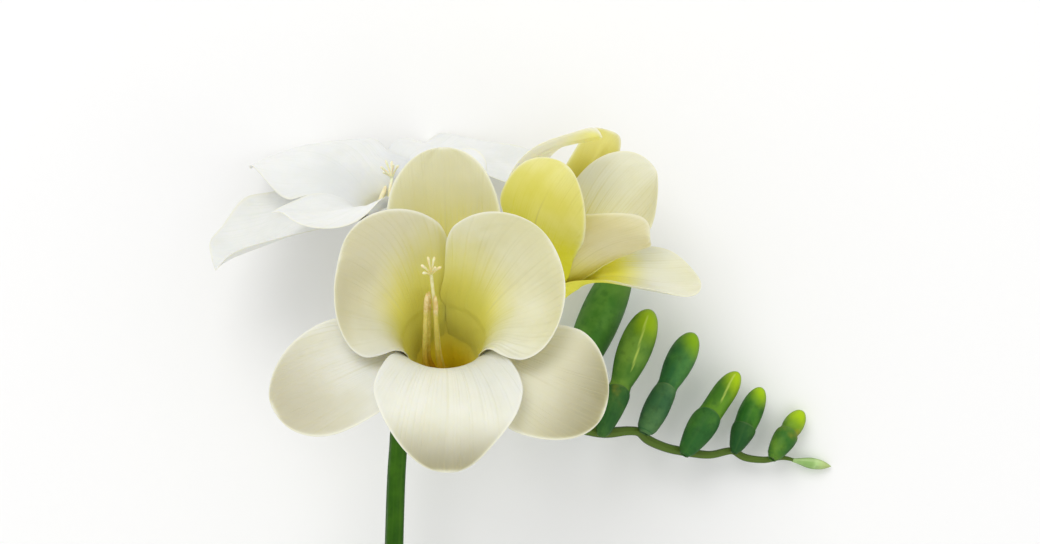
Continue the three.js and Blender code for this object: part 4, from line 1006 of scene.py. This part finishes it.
# A lathe carried along a bowed line. Three low ridges, h cos(3 a), mark the outer tepals, and a seam,
# h exp(-(distance / width)^2), runs lengthwise. The yellow of the tip and the blush lie to one side.
def makeBud(name, bud):
    make = budMake
    foot, tip = np.array(bud["foot"], float), np.array(bud["tip"], float)
    total = np.linalg.norm(tip - foot)
    axis = (tip - foot) / total
    line = bowedLine((0, 0, 0), (0, bud["bow"], total / 2), (0, 0, total))

    def place(points, direction=False):
        laid = turned(points.reshape(1, -1, 3), upwards, axis[None])[0].reshape(points.shape)
        return laid if direction else laid + foot

    shares = crowdedAlong(make["rows"], make["crowdedAlong"])
    radius = np.maximum(budRadius(bud, shares), make["least"])[:, None]
    x = np.clip((shares - bud["neck"]) / (1 - bud["neck"]), 0, 1)[:, None]
    angles = roundAngles(make["sides"])
    onTop = place(np.array([[1.0, 0, 0], [0, 1, 0]]), True)[:, 2]
    top = np.arctan2(onTop[1], onTop[0])
    fromTop = angles[None] - top
    seamAt, seamTurn, seamShow = bud["seam"]
    away = (fromTop - np.radians(seamAt) - seamTurn * (x - 0.5) + np.pi) % (2 * np.pi) - np.pi
    seam = bell(away * radius / make["seamWidth"])
    seam = seam * ease(*make["seamFrom"], x) * (1 - ease(*make["seamTo"], x))
    ridges = make["ridgeHeight"] * radius * np.cos(make["ridges"] * fromTop)
    radii = radius + ridges * ease(*make["ridgesFrom"], x) + seamShow * make["seamHeight"] * seam
    warm = np.cos(fromTop - make["warmSide"])
    tipShare = (x + make["tipLean"] * warm - bud["tipFrom"]) / (make["tipFull"] - bud["tipFrom"])
    blush = bud["blush"] * (1 - ease(*make["blushTo"], x)) * (1 + warm) / 2
    skin = closedSkin(place(ringsAlong(line, shares, radii, angles)), roundUv(shares, make["sides"]),
                      tip=np.clip(tipShare, 0, 1), rim=seam * seamShow, blush=blush)
    look = {**make["look"], "dark": bud["dark"], "light": bud["light"], "tip": bud["tipPaint"]}
    makePiece(f"{name}_skin", [skin], greenFinish(f"{name} green", look), name)
    look = {**bractMake["look"], "dark": bud["sheathDark"], "light": bud["sheathLight"]}
    finish = greenFinish(f"{name} sheath green", look)
    length = make["sheathLength"] * bud["neck"] * total
    for layer, (turn, halfAngle, point) in make["sheaths"].items():
        shape = (length, np.degrees(top) + turn, halfAngle, point)
        makeBract(f"{name}_{layer}_bract", line, lambda share: sheathRadius(bud, share), place, shape,
                  bud["blush"], finish)


for name, bud in buds.items():
    makeBud(name, bud)
print("buds done")

tipMake = dict(
    foot=(54.2, -37.4, 2.8), tip=(62.1, -38.8, 0.9), radius=1.15, sides=32, rows=50,
    widths=(0.3, 0.6, 0.95, 1, 0.75, 0.08), smoothedOver=9, point=(0.2, 0.12, 0.05), furrow=0.06,
    furrows=3, furrowPower=8, tipFrom=0.5,
    look=dict(dark=(148, 186, 108), light=(194, 224, 152), streak=(216, 236, 176), patchScale=220.0,
              streaks=5, streakShow=0.5, streakDepth=0.03, tip=(190, 206, 130), tipShow=0.8,
              # side: the dark mottle's colour and the painted shade on the sides
              side=(36, 84, 30), sideShadeShow=0.7, mottle=0.2),
)


# A spindle, the last bud still inside its bracts. Its widths are joined by straight lines, smoothed by a
# running mean and brought to a point, and three shallow furrows run along it, 1 - h |cos(1.5 angle)|^8.
def makeTip():
    make = tipMake
    foot, tip = np.array(make["foot"], float), np.array(make["tip"], float)
    shares = np.linspace(0, 1, make["rows"])
    count = make["smoothedOver"]
    widths = np.interp(shares, np.linspace(0, 1, len(make["widths"])), make["widths"])
    widths = np.convolve(np.pad(widths, count // 2, mode="edge"), np.ones(count) / count, mode="valid")
    widths[-3:] = make["point"]
    angles = roundAngles(make["sides"])
    lobes = 1 - make["furrow"] * np.abs(np.cos(make["furrows"] / 2 * angles)) ** make["furrowPower"]
    line = bowedLine(foot, (foot + tip) / 2, tip)
    rings = ringsAlong(line, shares, make["radius"] * widths[:, None] * lobes, angles, unit(tip - foot))
    skin = closedSkin(rings, roundUv(shares, make["sides"]), tip=ease(make["tipFrom"], 1, shares)[:, None])
    makePiece("tip_bud_skin", [skin], greenFinish("tip green", make["look"]), "tip_bud")


makeTip()
print("tip done")

floorMake = dict(half=4, dull=0.7, patchScale=3.0, tones=((250, 250, 250), (253, 253, 253)))


def makeFloor():
    half = floorMake["half"]
    f = Finish("floor paper", Roughness=floorMake["dull"])
    f.link(f.mix(f.noise(floorMake["patchScale"]), *floorMake["tones"]), "Base Color")
    mesh = bpy.data.meshes.new("floor")
    corners = [(-half, -half, 0), (half, -half, 0), (half, half, 0), (-half, half, 0)]
    mesh.from_pydata(corners, [], [(0, 1, 2, 3)])
    mesh.materials.append(f.material)
    floor = bpy.data.objects.new("floor", mesh)
    bpy.context.scene.collection.objects.link(floor)


# Lamps aim at the spike's head, in metres. The camera stands straight above the middle, mm.
roomMake = dict(
    aim=(0.0, 0.08, 0.03), skylight=0.75, lens=90, sensor=36, clip=(0.01, 20), eyeHeight=520,
    lamps=dict(key=dict(place=(-0.4, 1.0, 1.2), size=1.0, power=7.5, tint=(1.0, 0.99, 0.97)),
               fill=dict(place=(0.7, -0.4, 1.2), size=1.2, power=2.2, tint=(0.97, 0.98, 1.0))),
)


def makeLamp(name, place, size, power, tint):
    lamp = bpy.data.lights.new(name, "AREA")
    lamp.shape, lamp.size, lamp.energy, lamp.color = "DISK", size, power, tint
    stand = bpy.data.objects.new(name, lamp)
    stand.location = place
    x, y, z = np.subtract(place, roomMake["aim"])
    stand.rotation_euler = (np.arctan2(np.hypot(x, y), z), 0, np.arctan2(y, x) + np.pi / 2)
    bpy.context.scene.collection.objects.link(stand)


def makeRoom():
    scene = bpy.context.scene
    scene.world = bpy.data.worlds.new("studio")
    scene.world.use_nodes = True
    background = scene.world.node_tree.nodes["Background"]
    background.inputs["Color"].default_value = (1.0, 1.0, 1.0, 1.0)
    background.inputs["Strength"].default_value = roomMake["skylight"]
    for name, lamp in roomMake["lamps"].items():
        makeLamp(name, **lamp)
    camera = bpy.data.cameras.new("camera")
    camera.lens, camera.sensor_width = roomMake["lens"], roomMake["sensor"]
    camera.clip_start, camera.clip_end = roomMake["clip"]
    eye = bpy.data.objects.new("camera", camera)
    eye.location = np.array([0, 0, roomMake["eyeHeight"]]) * mm - boxMiddle * mm
    scene.collection.objects.link(eye)
    scene.camera = eye
    scene.view_settings.view_transform = "Standard"


makeFloor()
makeRoom()
